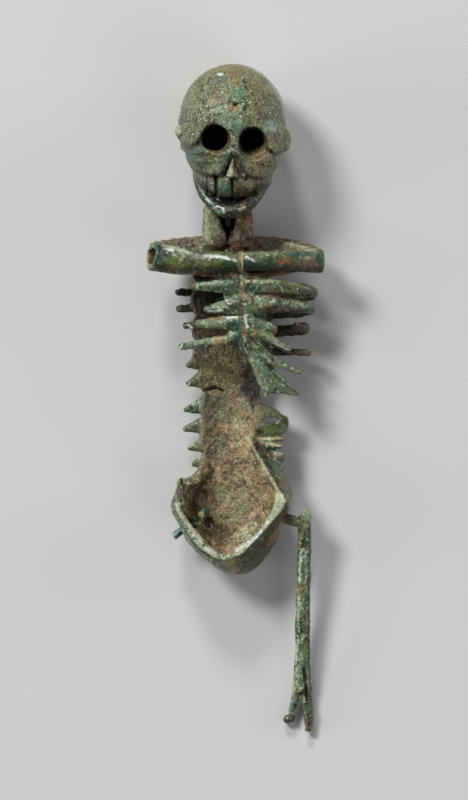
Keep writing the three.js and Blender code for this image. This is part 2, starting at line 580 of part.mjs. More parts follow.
function loinEnd({ rootX, y, endX, endY, half }) {
  return rod([
    vec(rootX, y, 2.2),
    vec(mix(rootX, endX, 0.55), mix(y, endY, 0.6), 2.9),
    vec(endX, endY, 3.1),
  ], taper(half, half, 0.8), taper(0.42, 0.42, 0.8), { sides: 6, steps: 3 });
}

// A solid of the bowl's plan, from its foot on the floor up to its rim.
// hollow draws the plan in by the wall, lifts it past the rim and runs it up into the back.
function bowlBody(hollow) {
  const last = BOWL_RIM.length - 1;
  const floor = hollow ? BOWL.floor : -0.2;
  const rise = hollow ? BOWL_COLLAR.rise : 0;
  const rings = BOWL_RIM.map(({ x, y, z, belly, wall }, i) => {
    const out = new THREE.Vector2(x - BOWL.centreX, y - BOWL.centreY).normalize();
    const inset = hollow ? wall : 0;
    const mouth = hollow && (i === 0 || i === last) ? BOWL_MOUTH_SHIFT : 0;
    const rimX = x - out.x * inset;
    const rimY = y - out.y * inset + mouth;
    const swell = hollow ? belly * 0.75 : belly;
    return {
      rim: vec(rimX, rimY, z),
      belly: vec(rimX + out.x * swell, rimY + out.y * swell, mix(floor, z, BOWL.bellyZ / 7)),
      foot: vec(
        BOWL.centreX + (rimX - BOWL.centreX) * BOWL.footScale,
        BOWL.centreY + (rimY - BOWL.centreY) * BOWL.footScale,
        floor,
      ),
    };
  });
  const loop = (key) => new THREE.CatmullRomCurve3(rings.map((ring) => ring[key]), true, 'centripetal');
  const rim = loop('rim');
  const belly = loop('belly');
  const foot = loop('foot');
  const drum = new THREE.CylinderGeometry(1, 1, 1, 30, 4);
  return solid(reshape(drum, (p) => {
    const down = 0.5 - p.y;
    if (Math.hypot(p.x, p.z) < 0.5) {
      return vec(BOWL.centreX, BOWL.centreY, down < 0.5 ? 6 + rise : floor);
    }
    const round = (Math.atan2(p.x, p.z) / (2 * Math.PI) + 1) % 1;
    const top = rim.getPoint(round);
    if (hollow && down < BOWL_COLLAR.share) {
      return top.add(vec(0, 0, rise * (1 - down / BOWL_COLLAR.share)));
    }
    const fall = hollow ? (down - BOWL_COLLAR.share) / (1 - BOWL_COLLAR.share) : down;
    const low = foot.getPoint(round);
    const middle = belly.getPoint(round);
    const pull = middle.multiplyScalar(2).addScaledVector(top, -0.5).addScaledVector(low, -0.5);
    return new THREE.QuadraticBezierCurve3(top, pull, low).getPoint(fall);
  }));
}

function wallCurl() {
  const { places, z, halfWidth, halfDepth } = WALL_CURL;
  const path = places.map(([x, y]) => vec(x, y, z));
  return rod(path, taper(halfWidth, halfWidth), taper(halfDepth, halfDepth), { sides: 6, steps: 4 });
}

function buildTorso() {
  let torso = join(bowlBody(false).subtract(bowlBody(true)), backShell(), backRidge());
  torso = join(torso, shoulder(), shoulderBar(), neck());
  torso = join(
    torso, sternum(), frontWeb(), breastLeaf(), loinLoop(), wallCurl(),
    ...LEFT_LEAVES.map(leftLeaf), ...RIGHT_HOOPS.map(rightHoop), ...RIGHT_SPIKES.map(rightSpike),
    ...RIGHT_BACKS.map(rightBack), ...LEFT_STUBS.map(leftStub), ...LOIN_ENDS.map(loinEnd),
  );
  return torso.intersect(ABOVE_FLOOR);
}

// A round bar between two points, with its ends cut square.
function pin(from, to, radius, sides = 10) {
  return rod([from, to], () => radius, () => radius, { sides, steps: 1 });
}

const ends = ({ innerX, innerY, outerX, outerY, z }) => [vec(innerX, innerY, z), vec(outerX, outerY, z)];

function buildWire() {
  const [inner, outer] = ends(WIRE);
  return pin(inner, outer, WIRE.radius);
}

function buildLeg() {
  const [hipY, kneeY] = [LEG_MIDDLE[0][1], LEG_MIDDLE.at(-1)[1]];
  const stations = LEG_MIDDLE.map(([x, y]) => {
    const down = (hipY - y) / (hipY - kneeY);
    return vec(x, y, mix(LEG_HIP_Z, LEG_KNEE_Z, down ** 1.1));
  });
  const shaft = rod(stations, profile(LEG_HALF_WIDTHS), () => LEG_HALF_DEPTH, { sides: 8, steps: 13 });
  const prongDepth = taper(LEG_HALF_DEPTH * 0.9, LEG_HALF_DEPTH * 0.9, 0.75);
  const prong = ({ places, halves }) => {
    const path = places.map(([x, y], i) => vec(x, y, mix(LEG_KNEE_Z, FORK_TIP_Z, i / (places.length - 1))));
    return rod(path, profile(halves), prongDepth, { sides: 7, steps: 6 });
  };
  const eye = new THREE.CylinderGeometry(FORK_EYE.radius, FORK_EYE.radius, 4, 8, 1);
  eye.rotateX(Math.PI / 2).translate(FORK_EYE.x, FORK_EYE.y, 0);
  const [inner, outer] = ends(TENON);
  return join(shaft, ...FORK.map(prong), egg(FORK_KNOB, 9), egg(HIP_KNOB, 9))
    .subtract(solid(eye))
    .add(pin(inner, outer, TENON.radius))
    .intersect(ABOVE_FLOOR);
}

function finish(name, body, color, roughness) {
  const mesh = body.getMesh();
  const geometry = new THREE.BufferGeometry();
  geometry.setAttribute('position', new THREE.BufferAttribute(mesh.vertProperties, 3));
  geometry.setIndex(new THREE.BufferAttribute(mesh.triVerts, 1));
  geometry.computeVertexNormals();
  const material = new THREE.MeshStandardMaterial({ color, roughness, metalness: 0.5 });
  const piece = new THREE.Mesh(geometry, material);
  piece.name = name;
  return piece;
}

// The room that the torso keeps for its neighbours: the tang, the wire and the tenon.
function clearances() {
  const [wireInner, wireOuter] = ends(WIRE);
  const [tenonInner, tenonOuter] = ends(TENON);
  return join(
    tang(FIT),
    pin(wireInner, wireOuter, WIRE.radius + FIT),
    pin(tenonInner.setX(tenonInner.x - FIT), tenonOuter, TENON.radius + FIT),
  );
}

const group = new THREE.Group();
group.add(finish('skull', buildSkull(), 0x6f7a55, 0.6));
group.add(finish('torso', buildTorso().subtract(clearances()), 0x5d6b4c, 0.6));
group.add(finish('right_hip_wire', buildWire(), 0x3f6b6b, 0.4));
group.add(finish('left_leg', buildLeg(), 0x64745a, 0.6));

export default group;
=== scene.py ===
"""A small cast bronze skeleton, broken and corroded, lying on its back on a pale table.

Sizes are in millimetres while a piece is on the bench; each finished piece is brought to metres.
+Y runs from the foot end to the crown, +X is the viewer's right and +Z comes up to the viewer.
"""

import logging
import math
from dataclasses import dataclass
from enum import Enum
from typing import Callable, Iterable, Sequence

import bmesh
import bpy
import numpy as np
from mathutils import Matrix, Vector, noise


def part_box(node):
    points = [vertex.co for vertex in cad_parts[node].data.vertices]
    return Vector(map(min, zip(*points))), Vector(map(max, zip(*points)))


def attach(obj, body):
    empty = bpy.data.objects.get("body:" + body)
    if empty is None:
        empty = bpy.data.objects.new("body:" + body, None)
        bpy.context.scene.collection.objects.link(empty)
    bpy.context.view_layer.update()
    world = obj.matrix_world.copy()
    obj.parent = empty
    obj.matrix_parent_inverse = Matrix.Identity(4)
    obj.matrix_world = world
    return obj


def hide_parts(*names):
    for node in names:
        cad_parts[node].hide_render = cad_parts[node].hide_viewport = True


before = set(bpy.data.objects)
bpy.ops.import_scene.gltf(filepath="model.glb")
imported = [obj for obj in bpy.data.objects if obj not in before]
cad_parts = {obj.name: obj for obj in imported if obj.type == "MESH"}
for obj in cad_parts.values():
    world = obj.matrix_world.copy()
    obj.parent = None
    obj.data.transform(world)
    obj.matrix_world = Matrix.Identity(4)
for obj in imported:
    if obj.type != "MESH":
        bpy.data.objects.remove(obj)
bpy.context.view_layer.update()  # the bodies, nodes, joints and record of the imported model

MM = 0.001
MOST_TRIANGLES = 192000
UNDERSIDE = -0.15  # how far down a point faces that counts as hidden on the table
UP = np.array((0.0, 0.0, 1.0))
ALONG = np.array((0.0, 1.0, 0.0))

log = logging.getLogger("figurine")

Form = bpy.types.Object
Array = np.ndarray
Profile = Callable[[Array], Array]  # half sizes at shares of a rod's length
Place = Callable[[Array], Array]  # new places of points
Point = Sequence[float]


def ramp(value: Array, low: float, high: float) -> Array:
    """Rises smoothly from 0 where value is low to 1 where it is high.

    Args:
        value: Numbers to grade.
        low: Value that gives 0.
        high: Value that gives 1; it may be below low.

    Returns:
        The graded numbers, from 0 to 1.
    """
    share = np.clip((value - low) / (high - low), 0.0, 1.0)
    return share * share * (3.0 - 2.0 * share)


def between(start, end, share):
    """Goes from start to end by share."""
    return start + (end - start) * share


def even(value: float) -> Profile:
    """A profile that keeps one half size."""
    return lambda t: np.full_like(t, value)


def taper(start: float, end: float) -> Profile:
    """A profile that runs evenly from one half size to another."""
    return lambda t: between(start, end, t)


def swept(values: Sequence[float]) -> Profile:
    """A profile that runs smoothly through evenly spaced half sizes.

    Args:
        values: Half sizes from the start of a rod to its end.

    Returns:
        The profile.
    """
    course = Course([(float(i), value, 0.0) for i, value in enumerate(values)])
    return lambda t: np.array([course.at(share)[1] for share in t])


class Course:
    """A smooth path through points, walked by its length."""

    STRETCHES = 200

    def __init__(self, points: Iterable[Point], closed: bool = False) -> None:
        """Keeps the points and measures the path.

        Args:
            points: Places that the path runs through.
            closed: True for a loop.
        """
        self.points = [np.asarray(p, float) for p in points]
        self.closed = closed
        self.shares = np.linspace(0.0, 1.0, self.STRETCHES + 1)
        line = np.array([self.at(share) for share in self.shares])
        self.walk = np.concatenate([[0.0], np.cumsum(np.linalg.norm(np.diff(line, axis=0), axis=1))])

    def at(self, share: float) -> Array:
        """The place at a share of the points, whatever their spacing.

        Args:
            share: From 0 at the first point to 1 at the last.

        Returns:
            The place.
        """
        count = len(self.points)
        along = (count - (0 if self.closed else 1)) * share
        first = int(math.floor(along))
        weight = along - first
        if not self.closed and first >= count - 1:
            first, weight = count - 2, 1.0
        if self.closed:
            before, here, there, after = (self.points[(first + k) % count] for k in (-1, 0, 1, 2))
        else:
            here, there = self.points[first], self.points[first + 1]
            before = self.points[first - 1] if first > 0 else 2 * here - there
            after = self.points[first + 2] if first + 2 < count else 2 * there - here
        spans = [math.sqrt(np.linalg.norm(b - a)) for a, b in ((before, here), (here, there), (there, after))]
        middle = spans[1] if spans[1] > 1e-4 else 1.0
        lead, trail = (s if s > 1e-4 else middle for s in (spans[0], spans[2]))
        run = (there - here) / middle
        out = ((here - before) / lead - (there - before) / (lead + middle) + run) * middle
        back = (run - (after - here) / (middle + trail) + (after - there) / trail) * middle
        cube = 2 * here - 2 * there + out + back
        square = -3 * here + 3 * there - 2 * out - back
        return here + weight * (out + weight * (square + weight * cube))

    def length(self) -> float:
        """The path's length."""
        return float(self.walk[-1])

    def walked(self, share: float) -> Array:
        """The place at a share of the path's length."""
        return self.at(float(np.interp(share * self.walk[-1], self.walk, self.shares)))

    def heading(self, share: float) -> Array:
        """The unit direction of the path at a share of its length."""
        step = 1e-3
        ahead = self.walked(min(1.0, share + step)) - self.walked(max(0.0, share - step))
        return ahead / np.linalg.norm(ahead)


def let_go() -> None:
    """Deselects everything, so that the next operator acts on its own piece alone."""
    if bpy.context.mode != "OBJECT":
        bpy.ops.object.mode_set(mode="OBJECT")
    bpy.ops.object.select_all(action="DESELECT")


def take(piece: Form) -> None:
    """Selects one piece and makes it the active one."""
    let_go()
    piece.select_set(True)
    bpy.context.view_layer.objects.active = piece


def points_of(piece: Form) -> Array:
    """A piece's points, one row each."""
    flat = np.empty(3 * len(piece.data.vertices), np.float32)
    piece.data.vertices.foreach_get("co", flat)
    return flat.reshape(-1, 3).astype(float)


def put_points(piece: Form, points: Array) -> None:
    """Moves a piece's points to new places."""
    piece.data.vertices.foreach_set("co", points.astype(np.float32).ravel())
    piece.data.update()


def turn_out(piece: Form) -> None:
    """Turns every face of a closed form outwards."""
    take(piece)
    bpy.ops.object.mode_set(mode="EDIT")
    bpy.ops.mesh.select_all(action="SELECT")
    bpy.ops.mesh.normals_make_consistent(inside=False)
    bpy.ops.object.mode_set(mode="OBJECT")


def ball(centre: Point, halves: Point, squareness=2.0, detail: int = 64) -> Form:
    """An egg with its own half sizes, squarer where its power is above two.

    Args:
        centre: Middle of the egg.
        halves: Half sizes along X, Y and Z.
        squareness: The power, or a function that gives it for points on the unit ball.
        detail: Segments round the ball.

    Returns:
        The form.
    """
    let_go()
    bpy.ops.mesh.primitive_uv_sphere_add(segments=detail, ring_count=detail * 2 // 3, radius=1.0)
    piece = bpy.context.active_object
    points = points_of(piece)
    power = squareness(points) if callable(squareness) else np.full(len(points), squareness)
    reach = (np.abs(points) ** power[:, None]).sum(axis=1) ** (1.0 / power)
    put_points(piece, np.array(centre) + points / reach[:, None] * np.array(halves))
    return piece


def column(sides: int, rings: int, reshape: Place) -> Form:
    """An upright cylinder, cut into rings, whose points are then moved by reshape.

    Args:
        sides: Sides of the cylinder.
        rings: Bands from its top to its bottom.
        reshape: Gives the new places of points whose Z runs from 1 at the top to -1.

    Returns:
        The form.
    """
    let_go()
    bpy.ops.mesh.primitive_cylinder_add(vertices=sides, radius=1.0, depth=2.0, end_fill_type="TRIFAN")
    piece = bpy.context.active_object
    bpy.ops.object.mode_set(mode="EDIT")
    bpy.ops.mesh.select_mode(type="EDGE")
    bpy.ops.mesh.select_all(action="DESELECT")
    form = bmesh.from_edit_mesh(piece.data)
    for edge in form.edges:
        edge.select_set(abs(edge.verts[0].co.z - edge.verts[1].co.z) > 1.0)
    bmesh.update_edit_mesh(piece.data)
    bpy.ops.mesh.subdivide(number_cuts=rings - 1)
    bpy.ops.object.mode_set(mode="OBJECT")
    put_points(piece, reshape(points_of(piece)))
    turn_out(piece)
    return piece


def rod(
    points: Sequence[Point],
    across: Profile,
    tall: Profile,
    sides: int = 20,
    rings: int = 30,
    reference: Array = UP,
    blunt: tuple[bool, bool] = (False, False),
) -> Form:
    """A rod of changing oval section along a smooth path.

    Args:
        points: Places that its middle line runs through.
        across: Half sizes square to the reference.
        tall: Half sizes along the reference.
        sides: Sides of its section.
        rings: Bands along it.
        reference: Direction that the section's tall side keeps to.
        blunt: True for a start or an end that is cut square instead of worn round.

    Returns:
        The form.
    """
    course = Course(points)
    length = course.length()

    def reshape(raw: Array) -> Array:
        """Lays the cylinder's rings along the path."""
        even_t = np.clip((1.0 - raw[:, 2]) / 2.0, 0.0, 1.0)
        shares, ring = np.unique(np.round(even_t, 5), return_inverse=True)
        shares = 0.5 - 0.5 * np.cos(math.pi * shares)
        middles = np.array([course.walked(s) for s in shares])
        heads = np.array([course.heading(s) for s in shares])
        side = np.cross(reference, heads)
        side /= np.linalg.norm(side, axis=1)[:, None]
        front = np.cross(heads, side)
        wide, high = across(shares), tall(shares)
        for from_end, cut_square in ((shares, blunt[0]), (1.0 - shares, blunt[1])):
            if not cut_square:
                cap = np.maximum(1e-6, 0.8 * np.minimum(wide, high))
                inward = np.clip(from_end * length / cap, 0.0, 1.0)
                worn = np.maximum(0.12, np.sqrt(np.maximum(0.0, 1.0 - (1.0 - inward) ** 2)))
                wide, high = wide * worn, high * worn
        put = middles[ring] + side[ring] * (raw[:, 0] * wide[ring])[:, None]
        return put + front[ring] * (raw[:, 1] * high[ring])[:, None]

    return column(sides, rings, reshape)


def pin(
    start: Point, end: Point, radius: float,
    sides: int = 24, rings: int = 2, reference: Array = UP,
) -> Form:
    """A straight round pin, cut square at both ends.

    Args:
        start: Middle of one end.
        end: Middle of the other.
        radius: Half its thickness.
        sides: Sides of its section.
        rings: Bands along it.
        reference: A direction that the pin doesn't run in.

    Returns:
        The form.
    """
    return rod([start, end], even(radius), even(radius), sides, rings, reference, (True, True))


def block(low: Point, high: Point, cuts: int = 0, reshape: Place | None = None) -> Form:
    """A box between two corners, or a box cut up and moved by reshape.

    Args:
        low: Lowest corner.
        high: Highest corner.
        cuts: Cuts through each of its edges.
        reshape: Gives the new places of its points.

    Returns:
        The form.
    """
    let_go()
    middle = [(a + b) / 2 for a, b in zip(low, high)]
    bpy.ops.mesh.primitive_cube_add(size=1.0)
    piece = bpy.context.active_object
    put_points(piece, np.array(middle) + points_of(piece) * (np.array(high) - np.array(low)))
    if cuts:
        bpy.ops.object.mode_set(mode="EDIT")
        bpy.ops.mesh.select_all(action="SELECT")
        bpy.ops.mesh.subdivide(number_cuts=cuts)
        bpy.ops.object.mode_set(mode="OBJECT")
    if reshape:
        put_points(piece, reshape(points_of(piece)))
        turn_out(piece)
    return piece


def unit_block(cuts: int, reshape: Place) -> Form:
    """A box one unit wide about the origin, cut up and moved by reshape."""
    return block((-0.5, -0.5, -0.5), (0.5, 0.5, 0.5), cuts, reshape)


def wedge_block(
    x: float, tip: float, top: float, low: float, high: float, back: float, front: float
) -> Form:
    """A box that widens from its foot to its top.

    Args:
        x: Place of its middle, across.
        tip: Half width at its foot.
        top: Half width at its top.
        low: Place of its foot, up.
        high: Place of its top, up.
        back: Height of its back.
        front: Height of its front.

    Returns:
        The form.
    """
    def reshape(p: Array) -> Array:
        """Tapers the box."""
        share = (p[:, 1] - low) / (high - low)
        return np.stack([x + 2 * p[:, 0] * between(tip, top, share), p[:, 1], p[:, 2]], 1)

    return block((-0.5, low, back), (0.5, high, front), 0, reshape)


def plate(outline: Sequence[Point], bottom: float, thickness: float) -> Form:
    """A flat outline with a thickness.

    Args:
        outline: Its corners, X and Y, in order.
        bottom: Height of its underside.
        thickness: How thick it is.

    Returns:
        The form.
    """
    let_go()
    bpy.ops.mesh.primitive_circle_add(vertices=len(outline), radius=1.0, fill_type="NGON")
    piece = bpy.context.active_object
    put_points(piece, np.array([(x, y, bottom) for x, y in outline]))
    bpy.ops.object.mode_set(mode="EDIT")
    bpy.ops.mesh.select_all(action="SELECT")
    bpy.ops.mesh.extrude_region_move(TRANSFORM_OT_translate={"value": (0.0, 0.0, thickness)})
    bpy.ops.object.mode_set(mode="OBJECT")
    turn_out(piece)
    return piece


def drill(x: float, y: float, wide: float, high: float, low: float, top: float) -> Form:
    """An upright cutter of oval section.

    Args:
        x: Place of its middle, across.
        y: Place of its middle, up.
        wide: Half width.
        high: Half height.
        low: Height of its foot.
        top: Height of its top.

    Returns:
        The form.
    """
    def reshape(raw: Array) -> Array:
        """Stretches the cylinder."""
        z = between(low, top, 0.5 + 0.5 * raw[:, 2])
        return np.stack([x + wide * raw[:, 0], y + high * raw[:, 1], z], 1)

    return column(36, 2, reshape)


def melt(piece: Form, voxel: float) -> Form:
    """Runs all that a piece is made of together into one skin of small faces.

    Args:
        piece: Closed forms in one object.
        voxel: Size of the new faces.

    Returns:
        The piece.
    """
    take(piece)
    modifier = piece.modifiers.new("melt", "REMESH")
    modifier.mode = "VOXEL"
    modifier.voxel_size = voxel
    bpy.ops.object.modifier_apply(modifier=modifier.name)
    return piece


def fuse(forms: Sequence[Form], voxel: float) -> Form:
    """Joins forms that run into each other into one casting.

    Args:
        forms: The forms.
        voxel: Size of the new faces.

    Returns:
        The casting.
    """
    take(forms[0])
    for form in forms:
        form.select_set(True)
    bpy.ops.object.join()
    return melt(bpy.context.active_object, voxel)


def cut(piece: Form, cutters: Iterable[Form]) -> Form:
    """Takes the cutters' shapes out of a piece.

    Args:
        piece: The piece to cut.
        cutters: Closed forms, which are used up.

    Returns:
        The piece.
    """
    for cutter in cutters:
        take(piece)
        modifier = piece.modifiers.new("cut", "BOOLEAN")
        modifier.operation = "DIFFERENCE"
        modifier.object = cutter
        bpy.ops.object.modifier_apply(modifier=modifier.name)
        bpy.data.objects.remove(cutter, do_unlink=True)
    return piece


def ease(piece: Form, factor: float, times: int) -> Form:
    """Smooths a piece's skin.

    Args:
        piece: The piece.
        factor: How far each point goes towards its neighbours.
        times: How often.

    Returns:
        The piece.
    """
    take(piece)
    modifier = piece.modifiers.new("ease", "SMOOTH")
    modifier.factor = factor
    modifier.iterations = times
    bpy.ops.object.modifier_apply(modifier=modifier.name)
    return piece


def triangles(piece: Form) -> int:
    """How many triangles a piece is made of."""
    return sum(len(face.vertices) - 2 for face in piece.data.polygons)


def thin(piece: Form, hidden: Array) -> None:
    """Makes the faces larger on the side that rests on the table, until a piece has few enough.

    Args:
        piece: The piece.
        hidden: True for the points on that side.
    """
    count = triangles(piece)
    if count <= MOST_TRIANGLES:
        return
    under = piece.vertex_groups.new(name="under")
    under.add([int(i) for i in np.nonzero(hidden)[0]], 1.0, "REPLACE")
    take(piece)
    modifier = piece.modifiers.new("thin", "DECIMATE")
    modifier.ratio = MOST_TRIANGLES / count
    modifier.vertex_group = under.name
    bpy.ops.object.modifier_apply(modifier=modifier.name)
    piece.vertex_groups.clear()


@dataclass(frozen=True)
class Groove:
    """A line cut into the side that faces the viewer.

    Attributes:
        path: Places that it runs through, X and Y.
        width: Half width of the cut.
        depth: How deep it goes; below zero it stands up as a ridge.
        above: Height under which the skin is left alone.
    """

    path: tuple[tuple[float, float], ...]
    width: float
    depth: float
    above: float = 0.0


@dataclass(frozen=True)
class Ledge:
    """A step in the side that faces the viewer: the skin drops just below a line.

    Attributes:
        path: Corners of the line from left to right, X and Y.
        drop: How far the skin drops.
        fade: Distance below the line over which it comes back.
        soft: Distance over which the step runs out at both ends.
    """

    path: tuple[tuple[float, float], ...]
    drop: float
    fade: float
    soft: float = 0.4


@dataclass(frozen=True)
class Swell:
    """A soft bump, or a dent where its height is below zero."""

    centre: tuple[float, float, float]
    reach: tuple[float, float, float]
    height: float


@dataclass(frozen=True)
class Grain:
    """How rough a skin is.

    Attributes:
        lumps: Height of the broad, worn unevenness.
        crust: Height of the fine corroded crust.
        pits: Depth of the scattered pits.
        lump_size: Size of the unevenness.
        crust_size: Size of the crust's grains.
        pit_size: Spacing of the pits.
    """

    lumps: float = 0.05
    crust: float = 0.035
    pits: float = 0.08
    lump_size: float = 1.5
    crust_size: float = 0.42
    pit_size: float = 1.1


class Skin:
    """The skin of a piece on the bench: its points, and tools that carve and read them."""

    def __init__(self, piece: Form) -> None:
        """Reads the piece's points and edges."""
        self.piece = piece
        mesh = piece.data
        flat = np.empty(2 * len(mesh.edges), np.int32)
        mesh.edges.foreach_get("vertices", flat)
        self.edges = flat.reshape(-1, 2)
        self.points = points_of(piece)
        self.degree = np.bincount(self.edges.ravel(), minlength=len(self.points)).astype(float)
        self.normals = self.read_normals()

    def read_normals(self) -> Array:
        """The directions that the skin faces."""
        flat = np.empty(3 * len(self.points), np.float32)
        self.piece.data.vertices.foreach_get("normal", flat)
        return flat.reshape(-1, 3).astype(float)

    def refresh(self) -> None:
        """Writes the points back and reads the directions again."""
        put_points(self.piece, self.points)
        self.normals = self.read_normals()

    def neighbours(self, values: Array) -> Array:
        """The mean of each point's neighbours' values."""
        total = np.zeros_like(values)
        np.add.at(total, self.edges[:, 0], values[self.edges[:, 1]])
        np.add.at(total, self.edges[:, 1], values[self.edges[:, 0]])
        degree = np.maximum(self.degree, 1.0)
        return total / (degree[:, None] if values.ndim > 1 else degree)

    def spread(self, values: Array, times: int) -> Array:
        """Values evened out over the skin, times over."""
        for _ in range(times):
            values = 0.5 * values + 0.5 * self.neighbours(values)
        return values

    def hollows(self, times: int = 4) -> Array:
        """How far the skin is hollow, above zero, or stands out, below zero, as a share of a right angle."""
        pull = self.neighbours(self.points) - self.points
        gap = np.linalg.norm(self.points[self.edges[:, 0]] - self.points[self.edges[:, 1]], axis=1).mean()
        return self.spread((pull * self.normals).sum(axis=1) / gap, times)

    def cloud(self, size: float, layers: int = 3, seed: float = 0.0) -> Array:
        """Soft noise over the skin, from about -1 to 1.

        Args:
            size: Size of its largest patches.
            layers: How many finer layers it has.
            seed: Moves it to another part of the pattern.

        Returns:
            One value for each point.
        """
        scaled = self.points / size + seed * 7.31
        return np.array([noise.fractal(Vector(p), 1.0, 2.1, layers) for p in scaled]) * 1.6

    def cells(self, size: float, seed: float = 0.0) -> Array:
        """The distance to the nearest of many scattered spots, as a share of size."""
        scaled = self.points / size + seed * 3.17
        return np.array([noise.noise(Vector(p), noise_basis="VORONOI_F1") for p in scaled])

    def push(self, amount: Array) -> None:
        """Moves the skin outwards by an amount, or inwards where it is below zero."""
        self.points = self.points + self.normals * amount[:, None]

    def from_line(self, path: Sequence[Point]) -> Array:
        """Each point's distance from a line, seen from the front."""
        corners = np.asarray(path, float)
        nearest = np.full(len(self.points), 1e9)
        for start, end in zip(corners[:-1], corners[1:]):
            run = end - start
            share = np.clip(((self.points[:, :2] - start) @ run) / (run @ run), 0.0, 1.0)
            gap = self.points[:, :2] - (start + share[:, None] * run)
            nearest = np.minimum(nearest, np.hypot(gap[:, 0], gap[:, 1]))
        return nearest

    def groove(self, lines: Iterable[Groove]) -> None:
        """Cuts lines into the side that faces the viewer."""
        facing = ramp(self.normals[:, 2], 0.0, 0.35)
        for line in lines:
            near = np.exp(-((self.from_line(line.path) / line.width) ** 2))
            above = ramp(self.points[:, 2], line.above - 0.2, line.above + 0.2)
            self.points[:, 2] -= line.depth * near * facing * above
        self.refresh()

    def step(self, ledges: Iterable[Ledge]) -> None:
        """Sinks the skin below lines in the side that faces the viewer."""
        facing = ramp(self.normals[:, 2], -0.2, 0.3)
        for ledge in ledges:
            xs, ys = zip(*ledge.path)
            x = self.points[:, 0]
            below = np.interp(x, xs, ys) - self.points[:, 1]
            ends = ramp(x, xs[0], xs[0] + ledge.soft) * ramp(x, xs[-1], xs[-1] - ledge.soft)
            sunk = ramp(below, -0.08, 0.14) * ramp(below, ledge.fade, 0.15)
            self.points[:, 2] -= ledge.drop * sunk * ends * facing
        self.refresh()

    def soften(self, share: Array, times: int) -> None:
        """Rounds the skin where share is above zero."""
        for _ in range(times):
            self.points = self.points + 0.5 * share[:, None] * (self.neighbours(self.points) - self.points)
        self.refresh()

    def swell(self, bumps: Iterable[Swell]) -> None:
        """Raises or sinks soft places."""
        for bump in bumps:
            gap = (self.points - np.array(bump.centre)) / np.array(bump.reach)
            self.push(bump.height * np.exp(-(gap * gap).sum(axis=1)))
        self.refresh()

    def weather(self, grain: Grain, share: Array | float = 1.0, seed: float = 0.0) -> None:
        """Roughens the skin with lumps, crust and pits.

        Args:
            grain: Heights and sizes.
            share: How much of it each point gets.
            seed: Picks another pattern.
        """
        rise = grain.lumps * self.cloud(grain.lump_size, 2, seed)
        rise += grain.crust * self.cloud(grain.crust_size, 2, seed + 1.0)
        pits = ramp(self.cells(grain.pit_size, seed + 2.0), 0.26, 0.08)
        rise -= grain.pits * pits * ramp(self.cloud(3.0, 1, seed + 3.0), -0.2, 0.4)
        self.push(rise * share)
        self.refresh()

    def hold_in(self, node: str) -> None:
        """Keeps the skin inside the box of the solid named node, and on the table."""
        low, high = (np.array(corner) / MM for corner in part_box(node))
        self.points = np.clip(self.points, np.maximum(low, (-1e9, -1e9, 0.0)), high)
        self.refresh()


class Tint(Enum):
    """The colours of the metal, its crusts and the earth on it, as seen in daylight; the black is painted
    shade, the white and the sky blue are painted highlights, and ink and umber serve as dark crust in some
    places and as painted shade in others.
    """

    OLIVE = "#6c6d4f"
    INK = "#23241a"
    FERN = "#53664b"
    DUSK = "#43452c"
    STRAW = "#7f7645"
    MOSS = "#5d6a38"
    SAGE = "#8a946f"
    FROST = "#b0b998"
    MINT = "#75947a"
    JADE = "#588a72"
    PINE = "#2a422c"
    TEAL = "#20453f"
    SLATE = "#505f57"
    IRON = "#3d4a46"
    # painted highlight
    SKY = "#9fb1ae"
    TAN = "#a68f6c"
    SAND = "#c2b488"
    OCHRE = "#977338"
    ORANGE = "#9c6c3f"
    RUST = "#74462b"
    EARTH = "#68543c"
    UMBER = "#3a2a1c"
    # painted shade
    BLACK = "#0d0b09"
    # painted highlight
    WHITE = "#d5dcd6"

    def linear(self) -> Array:
        """The colour as the three numbers that light works with."""
        shares = np.array([int(self.value[i:i + 2], 16) / 255.0 for i in (1, 3, 5)])
        return np.where(shares <= 0.04045, shares / 12.92, ((shares + 0.055) / 1.055) ** 2.4)


T = Tint  # short, for the tables of dabs and strokes


@dataclass(frozen=True)
class Dab:
    """A patch of colour laid on from the front.

    Attributes:
        x: Place of its middle, across.
        y: Place of its middle, up.
        wide: Half width.
        high: Half height.
        tint: Its colour.
        strength: How much it covers.
        turn: How far it is turned, in degrees.
        gloss: How polished it is, or None to leave that as it is.
    """

    x: float
    y: float
    wide: float
    high: float
    tint: Tint
    strength: float = 0.6
    turn: float = 0.0
    gloss: float | None = None


@dataclass(frozen=True)
class Stroke:
    """A line of colour drawn on from the front.

    Attributes:
        path: Places that it runs through, X and Y.
        width: Half width of the line.
        tint: Its colour.
        strength: How much it covers.
        gloss: How polished it is, or None to leave that as it is.
    """

    path: tuple[tuple[float, float], ...]
    width: float
    tint: Tint
    strength: float = 0.6
    gloss: float | None = None


